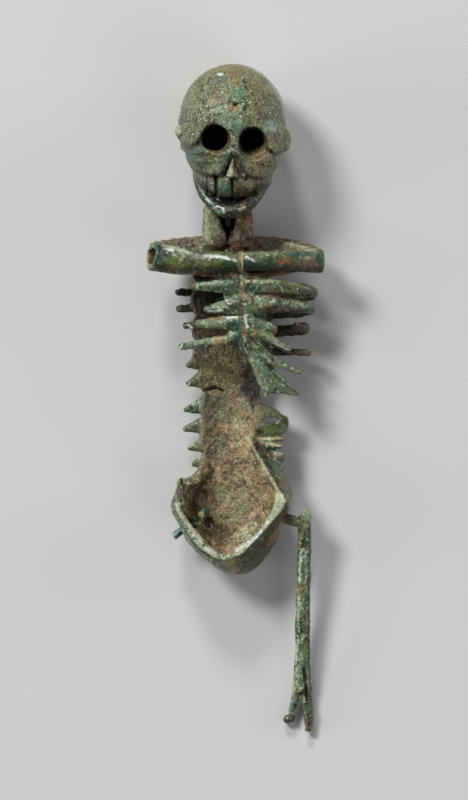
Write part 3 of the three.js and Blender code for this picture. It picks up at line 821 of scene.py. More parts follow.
class Coat:
    """The colour and polish of a skin, laid on point by point."""

    def __init__(self, skin: Skin, base: Tint, gloss: float) -> None:
        """Starts with one colour and one polish."""
        self.skin = skin
        count = len(skin.points)
        self.colour = np.tile(base.linear(), (count, 1))
        self.gloss = np.full(count, gloss)
        self.grit = np.ones(count)
        self.warp = np.stack([skin.cloud(1.0, 2, 13.0), skin.cloud(1.0, 2, 14.0)], 1)
        self.fine = skin.cloud(0.28, 2, 12.0)

    def lay(self, share: Array, tint: Tint, gloss: float | None = None) -> None:
        """Covers each point by its share with a colour.

        Args:
            share: From 0, bare, to 1, covered.
            tint: The colour.
            gloss: The polish it brings, or None to leave that as it is.
        """
        share = np.clip(share, 0.0, 1.0)
        self.colour += share[:, None] * (tint.linear() - self.colour)
        if gloss is not None:
            self.gloss += share * (gloss - self.gloss)

    def mottle(
        self, size: float, tint: Tint, amount: float, seed: float, gloss: float | None = None,
        where: Array | float = 1.0,
    ) -> None:
        """Scatters soft patches of a colour over the skin.

        Args:
            size: Size of the patches.
            tint: Their colour.
            amount: From 0, none, to 1, half of the skin.
            seed: Picks the pattern.
            gloss: The polish they bring.
            where: Share of each point that may be covered.
        """
        cloud = self.skin.cloud(size, 3, seed)
        self.lay(where * ramp(cloud, 0.6 - 0.6 * amount, 1.0 - 0.6 * amount), tint, gloss)

    def dab(self, rows: Iterable[tuple]) -> None:
        """Lays patches on the side that faces the viewer, with broken edges; each row is a Dab's values."""
        facing = ramp(self.skin.normals[:, 2], -0.25, 0.15)
        for one in (Dab(*row) for row in rows):
            angle = math.radians(one.turn)
            bend = 0.45 * min(one.wide, one.high)
            dx = self.skin.points[:, 0] - one.x + bend * self.warp[:, 0]
            dy = self.skin.points[:, 1] - one.y + bend * self.warp[:, 1]
            along = (dx * math.cos(angle) + dy * math.sin(angle)) / one.wide
            over = (dy * math.cos(angle) - dx * math.sin(angle)) / one.high
            reach = np.hypot(along, over) + 0.3 * self.fine
            self.lay(one.strength * facing * ramp(reach, 1.3, 0.75), one.tint, one.gloss)

    def draw(self, rows: Iterable[tuple]) -> None:
        """Draws broken lines on the side that faces the viewer; each row is a Stroke's values."""
        facing = ramp(self.skin.normals[:, 2], -0.25, 0.15)
        for one in (Stroke(*row) for row in rows):
            reach = self.skin.from_line(one.path) / one.width + 0.45 * self.fine + 0.2 * self.warp[:, 0]
            self.lay(one.strength * facing * ramp(reach, 1.35, 0.6), one.tint, one.gloss)

    def store(self) -> None:
        """Keeps the colour and the polish on the piece's mesh; what is black stays free of specks."""
        self.grit = self.grit * ramp(self.colour.max(axis=1), 0.006, 0.03)
        mesh = self.skin.piece.data
        paint = mesh.attributes.new("patina", "FLOAT_COLOR", "POINT")
        rows = np.concatenate([self.colour, np.ones((len(self.colour), 1))], axis=1)
        paint.data.foreach_set("color", rows.astype(np.float32).ravel())
        marks = {"gloss": self.gloss, "grit": self.grit, "hollow": self.skin.hollows(6)}
        for name, values in marks.items():
            mark = mesh.attributes.new(name, "FLOAT", "POINT")
            mark.data.foreach_set("value", values.astype(np.float32))


class Brew:
    """A material's nodes, added one after another."""

    def __init__(self, name: str) -> None:
        """Starts a material that holds only its output."""
        self.material = bpy.data.materials.new(name)
        self.material.use_nodes = True
        self.tree = self.material.node_tree
        self.tree.nodes.clear()

    def add(self, kind: str, settings: dict | None = None, **inputs) -> bpy.types.Node:
        """Adds a node.

        Args:
            kind: The node's type, without its prefix.
            settings: Values of the node itself.
            **inputs: Values or sockets for its inputs, by name, with _ for a space.

        Returns:
            The node.
        """
        node = self.tree.nodes.new("ShaderNode" + kind)
        for key, value in (settings or {}).items():
            setattr(node, key, value)
        for key, value in inputs.items():
            self.feed(node.inputs[key.replace("_", " ")], value)
        return node

    def feed(self, socket: bpy.types.NodeSocket, value) -> None:
        """Gives a socket a value or the output of another node."""
        if isinstance(value, bpy.types.NodeSocket):
            self.tree.links.new(value, socket)
        else:
            socket.default_value = value

    def range(self, value, low: float, high: float, to_low: float = 0.0, to_high: float = 1.0):
        """Grades a value from one range to another, held at its ends."""
        node = self.add("MapRange", {"interpolation_type": "SMOOTHSTEP"}, Value=value)
        for socket, number in zip(list(node.inputs)[1:5], (low, high, to_low, to_high)):
            socket.default_value = number
        return node.outputs[0]

    def sum(self, kind: str, first, second):
        """Two values put together by a named sum."""
        node = self.add("Math", {"operation": kind})
        self.feed(node.inputs[0], first)
        self.feed(node.inputs[1], second)
        return node.outputs[0]

    def mix(self, share, first, second, blend: str = "MIX"):
        """Two colours put together by a share."""
        node = self.add("Mix", {"data_type": "RGBA", "blend_type": blend})
        self.feed(node.inputs[0], share)
        self.feed(node.inputs[6], first)
        self.feed(node.inputs[7], second)
        return node.outputs[2]


@dataclass(frozen=True)
class Patina:
    """The finish of corroded bronze: a painted coat, broken up by fine grain, specks and pits.

    Attributes:
        name: The material's name.
        grain: Size of the finest grain, in millimetres.
        contrast: How far the grain lightens and darkens the coat.
        dark: Share of the skin under dark specks.
        pale: Share of the skin under pale specks.
        pale_tint: Colour of the pale specks.
        dull: Roughness where the coat isn't polished.
        bright: Roughness where it is.
        relief: Height of the finest relief, in millimetres.
    """

    name: str
    grain: float = 0.2
    contrast: float = 0.45
    dark: float = 0.5
    pale: float = 0.5
    pale_tint: Tint = T.FROST
    dull: float = 0.62
    bright: float = 0.16
    relief: float = 0.035

    def brew(self) -> bpy.types.Material:
        """Makes the material."""
        b = Brew(self.name)
        place = b.add("TexCoord").outputs["Object"]
        coat = b.add("Attribute", {"attribute_name": "patina"}).outputs["Color"]
        marks = ("gloss", "grit", "hollow")
        gloss, grit, hollow = (b.add("Attribute", {"attribute_name": name}).outputs["Fac"] for name in marks)
        noises = []
        for size, detail in ((0.7, 2.0), (1.2, 3.0), (0.9, 3.0), (5.0, 2.0)):
            scale = 1.0 / (size * self.grain * MM)
            noises.append(b.add("TexNoise", Vector=place, Scale=scale, Detail=detail, Roughness=0.6))
        fine, dark, pale, broad = (node.outputs["Fac"] for node in noises)
        drift = b.add("VectorMath", {"operation": "ADD"})
        b.feed(drift.inputs[0], place)
        drift.inputs[1].default_value = (0.11, 0.07, 0.05)
        b.feed(noises[2].inputs["Vector"], drift.outputs[0])
        light = b.range(fine, 0.3, 0.7, -self.contrast, self.contrast)
        light = b.sum("ADD", b.sum("MULTIPLY", light, grit), b.range(broad, 0.3, 0.7, 0.84, 1.14))
        hue = b.range(broad, 0.25, 0.75, 0.48, 0.52)
        toned = b.add("HueSaturation", Hue=hue, Value=light, Color=coat).outputs["Color"]
        low = 0.68 - 0.16 * self.pale
        stands = b.range(hollow, 0.06, -0.06, 0.25, 1.0)
        flecks = b.sum("MULTIPLY", b.range(pale, low, low + 0.06, 0.0, 0.75), b.sum("MULTIPLY", grit, stands))
        crusted = b.mix(flecks, toned, (*self.pale_tint.linear(), 1.0))
        low = 0.68 - 0.16 * self.dark
        specks = b.sum("MULTIPLY", b.range(dark, low, low + 0.07, 0.0, 0.8), grit)
        specked = b.mix(specks, crusted, (*T.INK.linear(), 1.0))
        sunk = b.range(hollow, 0.03, 0.2, 0.0, 0.85)
        colour = b.mix(sunk, specked, (*T.UMBER.linear(), 1.0))
        rough = b.range(gloss, 0.0, 1.0, self.dull, self.bright)
        rough = b.sum("ADD", rough, b.range(pale, 0.35, 0.7, -0.08, 0.12))
        height = b.sum("ADD", fine, b.sum("SUBTRACT", pale, dark))
        bump = b.add("Bump", Height=height, Strength=0.9, Distance=self.relief * MM)
        shader = b.add(
            "BsdfPrincipled", Base_Color=colour, Roughness=rough, Normal=bump.outputs["Normal"],
            Specular_IOR_Level=0.48, Coat_Weight=0.2, Coat_Roughness=0.16,
        )
        b.add("OutputMaterial", Surface=shader.outputs["BSDF"])
        return b.material


class Piece:
    """What every piece of the figurine has in common: how it is put in place."""

    node: str
    slot: str
    finish: Patina

    def hand_over(self, skin: Skin, coat: Coat) -> Form:
        """Brings a finished piece to metres and fixes it to the frame.

        Args:
            skin: The carved skin.
            coat: Its colours.

        Returns:
            The piece.
        """
        coat.store()
        piece = skin.piece
        put_points(piece, skin.points * MM)
        piece.name = piece.data.name = self.node + "_bronze"
        piece.data.materials.clear()
        piece.data.materials.append(self.finish.brew())
        thin(piece, skin.normals[:, 2] < UNDERSIDE)
        take(piece)
        bpy.ops.object.shade_smooth()
        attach(piece, "root")
        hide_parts(self.node)
        log.info("%s: %d triangles", piece.name, triangles(piece))
        return piece


# The colours of the skull. Painted light among them: white and sky highlights on the crown and on the right
# side, a frost highlight on the left ear, the nose's left facet painted lit in frost and its right facet
# painted in shade in umber, sand below the right eye painted as its lit lower wall, and black as painted
# shade in the pit on the forehead and in the pit under the nose.
SKULL_DABS = (
    (-1.2, 31.9, 0.5, 0.45, T.SLATE, 0.7), (-1.2, 32.35, 0.32, 0.12, T.WHITE, 0.8, 0, 0.8),
    (0.1, 32.1, 0.4, 0.6, T.ORANGE, 0.3), (0.2, 31.5, 0.35, 0.35, T.OCHRE),
    (0.5, 30.3, 0.5, 0.8, T.JADE, 0.5), (0.1, 28.9, 0.6, 0.25, T.OCHRE),
    (0.3, 29.35, 0.28, 0.14, T.BLACK, 0.9), (-2, 29.6, 0.45, 0.35, T.TAN, 0.45),
    (-1.6, 30.2, 0.4, 0.3, T.ORANGE, 0.3), (-1.1, 28.7, 0.7, 0.5, T.MINT, 0.4),
    (-0.2, 27.7, 1.1, 0.7, T.JADE, 0.35), (0.6, 26.9, 0.6, 0.8, T.JADE, 0.45),
    (2.8, 28.4, 0.3, 0.9, T.RUST, 0.45, 10), (2.3, 29, 0.5, 0.3, T.ORANGE, 0.25),
    (4, 27.2, 0.4, 0.6, T.SKY, 0.55), (3.4, 26.9, 0.5, 0.4, T.MINT, 0.4), (4.3, 26, 0.3, 0.4, T.RUST, 0.55),
    (-3.4, 30, 0.9, 1.8, T.DUSK, 0.35, 30), (-4.3, 29.6, 0.8, 1.4, T.SAGE, 0.4, 15),
    (3, 31, 1.4, 1, T.STRAW, 0.3, -40), (-5.45, 27, 0.22, 0.55, T.FROST, 0.7, 0, 0.7),
    (5.5, 26.6, 0.25, 0.5, T.STRAW), (5.5, 25.4, 0.3, 0.4, T.SAND, 0.4),
    (-3.8, 24.1, 1.25, 1.2, T.SLATE, 0.9, 0, 0.6), (-3.9, 24, 1, 1, T.IRON, 0.55),
    (-1.9, 24.6, 1, 0.22, T.SAND, 0.5), (-1.7, 23.6, 0.9, 0.7, T.MOSS, 0.35),
    (-1.9, 23, 0.9, 0.4, T.DUSK, 0.5), (2.9, 24.7, 1.2, 0.3, T.SAND, 0.65, 40),
    (1.9, 24.3, 0.8, 0.24, T.SAND, 0.6, -10), (3, 23.3, 1.3, 1, T.EARTH, 0.45),
    (2.6, 23.6, 0.7, 0.5, T.ORANGE, 0.22), (-0.25, 23, 0.3, 0.95, T.FROST, 0.85, -8),
    (0.5, 23, 0.42, 0.95, T.UMBER, 0.8, 14), (0.05, 21.7, 0.45, 0.25, T.BLACK, 0.75),
    (-2.6, 21.2, 0.7, 0.8, T.SLATE, 0.4), (-2.4, 21.2, 1, 0.9, T.DUSK, 0.5),
    (-0.9, 21, 0.55, 0.85, T.JADE, 0.5), (-0.9, 20.7, 0.25, 0.4, T.MINT, 0.5, 0, 0.8),
    (2, 21.2, 1.8, 1, T.EARTH), (0.5, 20.4, 0.4, 0.3, T.UMBER),
)

# Painted shade in ink and black: in the creases under the helmet's edge, the right ear and the cheeks, in the
# nose's left groove and between the teeth. Painted highlights in sky blue along the crown's right edge and on
# the nose's top; slate lines border the nose.
SKULL_STROKES = (
    (((3.4, 24.9), (4.2, 24.4), (5.4, 24.9)), 0.2, T.INK, 0.8),
    (((4, 26.6), (4.5, 25.6), (4.9, 24.9)), 0.12, T.INK, 0.5),
    (((1.5, 33.3), (3.4, 32.1), (4.7, 30.1), (5.25, 27.8)), 0.12, T.SKY, 0.5, 0.9),
    (((-0.1, 24.95), (-0.75, 23.7), (-1.4, 22.4)), 0.32, T.IRON, 0.9, 1),
    (((-0.5, 24.1), (-0.85, 23.3), (-1.1, 22.4)), 0.12, T.INK, 0.8),
    (((0.1, 24.95), (0.9, 23.8), (1.4, 22.4)), 0.26, T.IRON, 0.85, 1),
    (((-0.45, 24.6), (-0.1, 24.95), (0.35, 24.6)), 0.1, T.SKY, 0.5, 1),
    (((-1.7, 22.1), (-1.64, 19.9)), 0.11, T.BLACK, 0.8), (((-0.08, 21.9), (-0.08, 19.9)), 0.1, T.BLACK, 0.8),
    (((-3.6, 22.6), (-3.4, 21.2)), 0.12, T.INK, 0.5),
    (((-4.3, 23), (-3.3, 22.55), (-2.3, 22.1), (-1, 22.1)), 0.16, T.INK, 0.75),
    (((1.2, 22.1), (2.9, 21.95), (3.8, 22.4)), 0.14, T.INK, 0.55),
)

# The light on the lower jaw.
JAW_STROKES = (
    (((-3.4, 21.3), (-2.9, 20.3), (-2.1, 19.5)), 0.11, T.SKY, 0.6, 1),
    (((-2.7, 20), (-2.3, 19.6)), 0.1, T.WHITE, 0.9, 1),
    (((-1.9, 19), (-1.4, 18.65), (-0.9, 18.75)), 0.2, T.MINT, 0.75, 1),
    (((-1.6, 19.2), (-1, 19), (-0.9, 18.6)), 0.08, T.WHITE, 0.8, 1),
    (((0.6, 18.9), (1.2, 19.1)), 0.1, T.SAND, 0.6, 0.9), (((2.4, 19.9), (3.2, 20.9)), 0.1, T.SLATE, 0.5, 0.9),
)


@dataclass
class Skull(Piece):
    """The skull with its jaw, cast as one, and the short tang under it."""

    node: str = "skull"
    slot: str = "skull_bronze"
    finish: Patina = Patina("skull_patina", grain=0.16, contrast=0.4, dark=0.5, pale=0.4)
    voxel: float = 0.088
    cranium: tuple = ((-0.05, 27.7, 5.66), (5.34, 5.8, 5.78))
    lower_squareness: float = 3.2
    helmet_edge: tuple[float, float] = (25.25, 3.4)
    helmet_rise: float = 0.12
    face: tuple = ((0.08, 25.1, 6.6), (4.86, 3.4, 4.5))
    face_squareness: float = 2.5
    face_lift: float = 1.4
    upper_jaw: tuple = ((0.05, 22.6, 6.6), (3.92, 2.72, 4.35))
    upper_jaw_squareness: float = 2.45
    ears: tuple = (
        ((-4.95, 26.75, 6.4), (0.86, 1.0, 1.6)), ((-4.75, 27.7, 6.2), (0.72, 1.3, 1.8)),
        ((5.0, 25.9, 6.0), (0.86, 1.2, 1.6)),
    )
    sockets: tuple = ((-1.78, 25.98, 1.36, 1.0, 0.0, 0.3), (1.94, 25.76, 1.24, 1.08, -0.6, 0.85))
    socket_floor: float = 5.1
    nose_top: float = 24.75
    nose_base: float = 22.0
    nose_half_width: float = 1.25
    nose_z: float = 10.85
    jaw_half_width: float = 3.62
    jaw_chin: tuple[float, float] = (18.68, 9.7)
    jaw_hinge: tuple[float, float] = (23.2, 5.6)
    jaw_band: tuple = ((0.36, 0.7), (0.6, 0.8))
    helmet: tuple = ((-5.7, 25.9), (-5.0, 25.35), (-4.4, 25.0), (-3.7, 25.25), (-3.15, 25.7))
    palate: tuple = ((-1.45, 19.4, 6.5), (1.8, 22.5, 8.5))
    tang: tuple = (-0.5, 0.2, 0.7, 17.2, 23.0, 5.2, 0.6)
    tooth_gaps: tuple = (
        (-3.4, 22.2, 20.9, 0.14), (-2.55, 22.1, 20.4, 0.22), (-1.7, 22.2, 19.9, 0.5),
        (-0.08, 21.9, 19.9, 0.42), (1.25, 21.8, 20.1, 0.14), (2.2, 21.8, 20.4, 0.12),
    )

    def dome(self) -> Form:
        """The dome of the head, cut off below along the helmet edge as far back as the ears."""
        edge_y, edge_z = self.helmet_edge

        def squareness(p: Array) -> Array:
            """Squarer low down on the front half."""
            forward = ramp(p[:, 2], -0.5, 0.1)
            return between(2.0, self.lower_squareness, np.clip(-2.0 * p[:, 1], 0.0, 1.0) * forward)

        def lean(p: Array) -> Array:
            """Turns the cutting box about the helmet edge."""
            y, z = p[:, 1] - edge_y, p[:, 2] - edge_z
            c, s = math.cos(self.helmet_rise), math.sin(self.helmet_rise)
            return np.stack([p[:, 0], edge_y + y * c - z * s, edge_z + y * s + z * c], 1)

        under = block((-8.0, edge_y - 10.0, edge_z), (8.0, edge_y, edge_z + 16.0), 0, lean)
        return cut(ball(*self.cranium, squareness, 96), [under])

    def jaw_path(self) -> Array:
        """The middle line of the lower jaw, from one hinge round the chin to the other."""
        angles = np.linspace(-math.pi / 2, math.pi / 2, 11)
        climb = (1.0 - np.cos(angles)) ** 0.9
        (chin_y, chin_z), (hinge_y, hinge_z) = self.jaw_chin, self.jaw_hinge
        return np.stack([
            -0.12 + self.jaw_half_width * np.sin(angles),
            between(chin_y, hinge_y, climb) + 0.12 * np.sin(angles),
            between(chin_z, hinge_z, climb),
        ], 1)

    def jaw(self) -> Form:
        """The lower jaw, a band that hangs from both sides of the face and bends round the chin."""
        fuller = lambda ends: (lambda t: between(ends[0], ends[1], np.sin(math.pi * t) ** 2))
        return rod(self.jaw_path(), fuller(self.jaw_band[0]), fuller(self.jaw_band[1]), 24, 60)

    def tongue(self) -> Form:
        """The tang under the skull, narrower towards its tip."""
        *plan, z, half_depth = self.tang
        return wedge_block(*plan, z - half_depth, z + half_depth)

    def socket(self, x: float, y: float, radius: float, stretch: float, turn: float, flare: float) -> Form:
        """A cutter for one eye socket: round, deep, narrower at its end and flared at its lower right."""
        def reshape(raw: Array) -> Array:
            """Stands the cylinder in the eye, turned and stretched."""
            depth = (1.0 - raw[:, 2]) / 2.0
            height = between(13.0, self.socket_floor, depth)
            side = np.clip((raw[:, 0] - raw[:, 1]) * 0.75, 0.0, 1.0)
            size = radius * between(1.05, 0.75, depth) + between(0.1, flare, side) * ramp(height, 8.4, 10.6)
            size -= (flare - 0.3) * 0.9 * side * ramp(height, 10.2, 7.4)
            wide, high = raw[:, 0] * size * stretch, raw[:, 1] * size
            c, s = math.cos(turn), math.sin(turn)
            return np.stack([x + wide * c - high * s, y + wide * s + high * c, height], 1)

        return column(40, 20, reshape)

    def nose_recess(self) -> Form:
        """A cutter for the sunk triangle of the nose."""
        half, base = self.nose_half_width, self.nose_base
        return plate([(0.0, self.nose_top), (-half, base), (half, base)], self.nose_z - 0.15, 3.0)

    def nose_parts(self) -> list[Form]:
        """The ridged wedge inside the nose and the raised borders beside it."""
        height = self.nose_top - self.nose_base
        let_go()
        bpy.ops.mesh.primitive_cone_add(vertices=4, radius1=1.0, radius2=0.0, depth=height)
        wedge = bpy.context.active_object
        raw = points_of(wedge)
        middle = (self.nose_top + self.nose_base) / 2
        put_points(wedge, np.stack([
            raw[:, 0] * self.nose_half_width * 0.8, middle + raw[:, 2], self.nose_z - 0.3 + 1.05 * raw[:, 1],
        ], 1))
        turn_out(wedge)
        parts = [wedge]
        for side, drop in ((-1, 0.95), (1, 0.85)):
            parts.append(rod([
                (0.0, self.nose_top + 0.15, self.nose_z + 0.18),
                (side * self.nose_half_width * 0.62, self.nose_top - height * drop / 2, self.nose_z + 0.02),
                (side * (self.nose_half_width + 0.25), self.nose_top - height * drop, self.nose_z - 0.4),
            ], taper(0.26, 0.3), taper(0.42, 0.5), 16, 24))
        return parts

    def cast(self) -> Form:
        """Puts the forms together and cuts the sockets and the nose."""
        centre, halves = self.face
        lifted = (centre[0], centre[1] + self.face_lift, centre[2])
        forms = [
            self.dome(),
            ball(centre, halves, self.face_squareness, 80),
            ball(lifted, halves, self.face_squareness, 80),
            ball(*self.upper_jaw, self.upper_jaw_squareness, 72),
            *(ball(*ear, 2.0, 36) for ear in self.ears),
        ]
        skull = fuse(forms, 0.14)
        cut(skull, [self.nose_recess(), *(self.socket(*eye) for eye in self.sockets)])
        return fuse([skull, *self.nose_parts(), self.jaw(), block(*self.palate), self.tongue()], self.voxel)

    def carve(self, skin: Skin) -> None:
        """Cuts the ledges, the teeth, the creases and the worn hollows."""
        for x, y, radius, *_ in self.sockets:
            away = np.abs(np.hypot(skin.points[:, 0] - x, skin.points[:, 1] - y) - radius)
            skin.soften(ramp(away, 0.6, 0.25) * ramp(skin.points[:, 2], 8.5, 9.5), 14)
        skin.swell([
            Swell((-3.4, 23.6, 9.4), (1.2, 0.8, 1.8), 0.34),
            Swell((3.1, 23.5, 9.4), (1.2, 0.8, 1.8), 0.22),
            Swell((0.0, 27.2, 11.3), (2.4, 0.7, 1.0), 0.1),
            Swell((-2.2, 24.7, 10.4), (1.2, 0.25, 1.0), 0.12),
        ])
        skin.step([
            Ledge(((-6.0, 26.1), (-5.2, 25.6), (-4.4, 25.15), (-3.7, 25.45), (-3.0, 26.0)), 0.6, 1.2),
            Ledge(((3.1, 25.3), (4.0, 24.55), (4.9, 24.75), (6.0, 25.3)), 0.5, 1.0),
            Ledge(((-4.7, 24.3), (-4.3, 23.2), (-3.3, 22.68), (-2.3, 22.22), (-1.2, 22.2)), 0.62, 1.6),
            Ledge(((1.0, 22.4), (1.6, 22.2), (2.9, 22.07), (3.8, 22.5), (4.2, 23.4)), 0.45, 1.2),
        ])
        skin.soften(ramp(skin.from_line(self.helmet) + 0.1, 0.6, 0.2), 10)
        band = skin.from_line(self.jaw_path()[:, :2])
        skin.soften(ramp(band, 0.9, 0.6) * ramp(skin.points[:, 1], 21.0, 21.7), 14)
        gaps = self.tooth_gaps
        lines = [Groove(((x, top), (x * 0.96, low)), 0.15, depth, 7.0) for x, top, low, depth in gaps]
        lines += [
            Groove(((-4.5, 23.6), (-3.7, 22.75), (-2.5, 22.3), (-1.3, 22.15)), 0.14, 0.35, 6.5),
            Groove(((-0.85, 22.3), (-0.6, 23.1), (-0.15, 24.3)), 0.13, 0.34, 8.0),
            Groove(((0.25, 24.3), (0.75, 23.4), (1.05, 22.5)), 0.13, 0.3, 8.0),
            Groove(((-1.0, 22.0), (1.2, 21.95)), 0.12, 0.25, 8.0),
        ]
        skin.groove(lines)
        skin.swell([Swell((0.3, 29.3, 11.3), (0.26, 0.16, 0.8), -0.5)])
        rim = ramp(skin.normals[:, 2], 0.2, 0.6)
        skin.weather(Grain(lumps=0.035, crust=0.05, pits=0.09), between(0.45, 1.0, rim), 4.0)
        skin.hold_in(self.node)

    def paint(self, skin: Skin) -> Coat:
        """Lays on the colours of the skull, with painted shade and painted highlights among them."""
        x, y, z = skin.points.T
        coat = Coat(skin, T.OLIVE, 0.4)
        coat.mottle(2.4, T.SAGE, 0.35, 21.0)
        coat.mottle(0.7, T.DUSK, 0.5, 22.0, 0.6)
        coat.mottle(1.2, T.MOSS, 0.3, 23.0)
        coat.mottle(0.24, T.INK, 0.4, 24.0)
        coat.mottle(0.2, T.FROST, 0.2, 25.0, 0.7)
        coat.mottle(0.22, T.INK, 0.55, 28.0, 0.4, ramp(x, -0.5, -3.0))
        coat.lay(ramp(y, 31.0, 33.4) * 0.6, T.STRAW)
        front = ramp(skin.normals[:, 2], -0.2, 0.2)
        coat.dab(SKULL_DABS)
        # Painted shade in ink along the helmet's edge, where the dome rolls under to the cheek, then the
        # strokes' painted shade and highlights.
        coat.draw([(self.helmet, 0.3, T.INK), *SKULL_STROKES])
        # Painted shade: the mouth and the gap round the tang are inked, specked with earth on their sides and
        # black where they face up.
        mouth = ramp(z, 8.9, 8.6) * ramp(y, 20.9, 20.5) * ramp(np.abs(x), 2.6, 2.2)
        tang = ramp(y, 18.9, 18.4) * ramp(z, 7.2, 6.6)
        coat.lay(mouth + tang, T.INK, 0.0)
        coat.mottle(0.5, T.EARTH, 0.4, 30.0, 0.0, np.clip(mouth + tang, 0.0, 1.0) * (1 - front))
        coat.lay((mouth + tang) * front, T.BLACK, 0.0)
        band = skin.from_line(self.jaw_path()[:, :2])
        jaw = ramp(band, 0.85, 0.6) * ramp(z, 5.4, 6.0) * ramp(y, 22.0, 21.2) * (1 - mouth) * (1 - tang)
        coat.lay(jaw, T.INK, 0.45)
        # The jaw's right side is painted darker towards black as shade.
        coat.lay(jaw * between(0.3, 0.7, ramp(x, 0.5, 2.0)), T.BLACK, 0.4)
        coat.mottle(0.5, T.PINE, 0.4, 26.0, 0.8, jaw)
        coat.mottle(0.3, T.EARTH, 0.4, 27.0, 0.5, jaw * ramp(x, -0.5, 0.8))
        coat.draw(JAW_STROKES)
        # Painted shade and light in each eye socket: umber just inside the rim and black deeper down; on the
        # lower right wall, earth brown painted as lit, going black deep down; rust specks deep inside.
        for eye_x, eye_y, radius, *_ in self.sockets:
            dx, dy = x - eye_x, y - eye_y
            away = np.hypot(dx, dy)
            inside = ramp(away, radius + 0.4, radius + 0.1) * ramp(z, 4.6, 5.0)
            lit = ramp(dx - dy, 0.2, 1.6) * ramp(away, radius + 0.95, radius + 0.55) * ramp(z, 10.9, 10.3)
            coat.lay(inside * ramp(z, 11.0, 10.4) * (1 - lit) * 0.9, T.UMBER, 0.0)
            coat.lay(lit * 0.75, T.EARTH, 0.0)
            coat.lay(inside * ramp(z, 9.7, 8.4) * (1 - lit), T.BLACK, 0.0)
            coat.lay(lit * ramp(z, 9.2, 7.6), T.BLACK, 0.0)
            coat.mottle(0.4, T.RUST, 0.5, 29.0, 0.0, inside * ramp(z, 8.6, 7.4) * (0.8 if eye_x < 0 else 0.3))
        coat.grit = between(1.0, 1.5, ramp(x, -1.5, -3.5) * ramp(y, 24.8, 25.5))
        return coat

    def build(self) -> Form:
        """Makes the skull."""
        skin = Skin(ease(self.cast(), 0.5, 2))
        self.carve(skin)
        return self.hand_over(skin, self.paint(skin))


# The colours of the neck, the shoulder and the bar. Painted shade among them: ink, umber and black in the gap
# between the neck's prongs, and ink along the bar's lower edge.
BAR_DABS = (
    (0.4, 13.7, 8.8, 1.2, T.DUSK, 0.65), (-2, 17.6, 0.9, 1.9, T.SAGE, 0.75),
    (-2.7, 17.3, 0.25, 1.6, T.FROST, 0.5), (-1.2, 17.6, 0.3, 1.4, T.INK, 0.7, 12),
    (-1.8, 15.6, 1, 0.5, T.DUSK, 0.5), (1.1, 17.3, 1, 1.7, T.EARTH, 0.9, 0, 0.4),
    (1.5, 17.6, 0.4, 0.8, T.RUST, 0.7, 0, 0.6), (1.2, 18.9, 1, 0.5, T.UMBER, 0.8),
    (0.6, 16.5, 0.3, 0.3, T.FROST, 0.4), (-0.5, 17.4, 0.55, 1.2, T.UMBER, 0.95),
    (-0.55, 16.6, 0.35, 0.6, T.BLACK, 0.95), (1, 15.5, 5.2, 0.75, T.UMBER, 0.75),
    (-0.1, 15.3, 0.9, 0.35, T.RUST, 0.5), (-5.2, 15.75, 1.1, 0.35, T.UMBER, 0.7),
    (-6.4, 16, 0.8, 0.2, T.RUST, 0.7), (-2.9, 15.7, 0.8, 0.5, T.SAGE, 0.5), (4, 16.1, 0.7, 0.2, T.RUST, 0.7),
    (3.2, 15.6, 0.5, 0.35, T.SAGE, 0.4), (6.9, 15.1, 1.5, 0.2, T.FROST, 0.6, -12),
    (6.2, 15, 0.5, 0.25, T.RUST, 0.5), (-7.2, 14.4, 0.8, 1.3, T.TEAL, 0.7, 0, 0.9),
    (-8.5, 14.3, 0.5, 1.3, T.SAGE, 0.6, 0, 0.6), (-8.3, 14.2, 0.3, 0.7, T.OCHRE),
    (-8.2, 13.7, 0.25, 0.4, T.UMBER, 0.7), (-8.25, 14.8, 0.25, 0.3, T.UMBER, 0.7),
    (-5.8, 13.6, 1.3, 0.7, T.MOSS, 0.75, 0, 0.8), (-6.1, 13.1, 0.8, 0.4, T.EARTH, 0.6, 0, 0.6),
    (-4, 14, 0.7, 0.9, T.DUSK, 0.6, 0, 0.5), (-3, 14.4, 0.6, 0.4, T.UMBER, 0.6, 0, 0.8),
    (-1.6, 13.6, 1.3, 0.5, T.MOSS, 0.75, 0, 0.9), (-0.4, 13.4, 0.8, 0.5, T.PINE, 0.85, 0, 1),
    (2, 13.3, 0.9, 0.4, T.TEAL, 0.85, 0, 1), (3.6, 13.5, 1.1, 0.5, T.PINE, 0.85, 0, 0.9),
    (4.1, 13, 0.9, 0.25, T.SLATE, 0.5, 0, 0.8), (5.2, 13.9, 0.9, 0.4, T.RUST, 0.7, 15, 0.6),
    (6.7, 14.4, 1.1, 0.3, T.TEAL, 0.8, 0, 0.9), (7.8, 13.3, 1, 0.7, T.EARTH, 0.8, 0, 0.6),
    (8.7, 14.2, 0.35, 0.7, T.TEAL, 0.8, 0, 0.8), (8.3, 12.9, 0.6, 0.3, T.INK, 0.7),
    (7.4, 13.9, 0.3, 0.2, T.SAGE, 0.5), (0, 12.9, 8.2, 0.3, T.INK, 0.75), (-3, 12.4, 1, 0.32, T.RUST, 0.7),
    (4.6, 12.45, 1.4, 0.4, T.ORANGE), (5.2, 12.5, 0.8, 0.4, T.RUST, 0.7), (6.3, 12.4, 0.7, 0.3, T.EARTH, 0.8),
    (-0.35, 12.45, 0.5, 0.2, T.ORANGE, 0.5), (-1.5, 12.2, 0.6, 0.35, T.SAGE, 0.8),
)

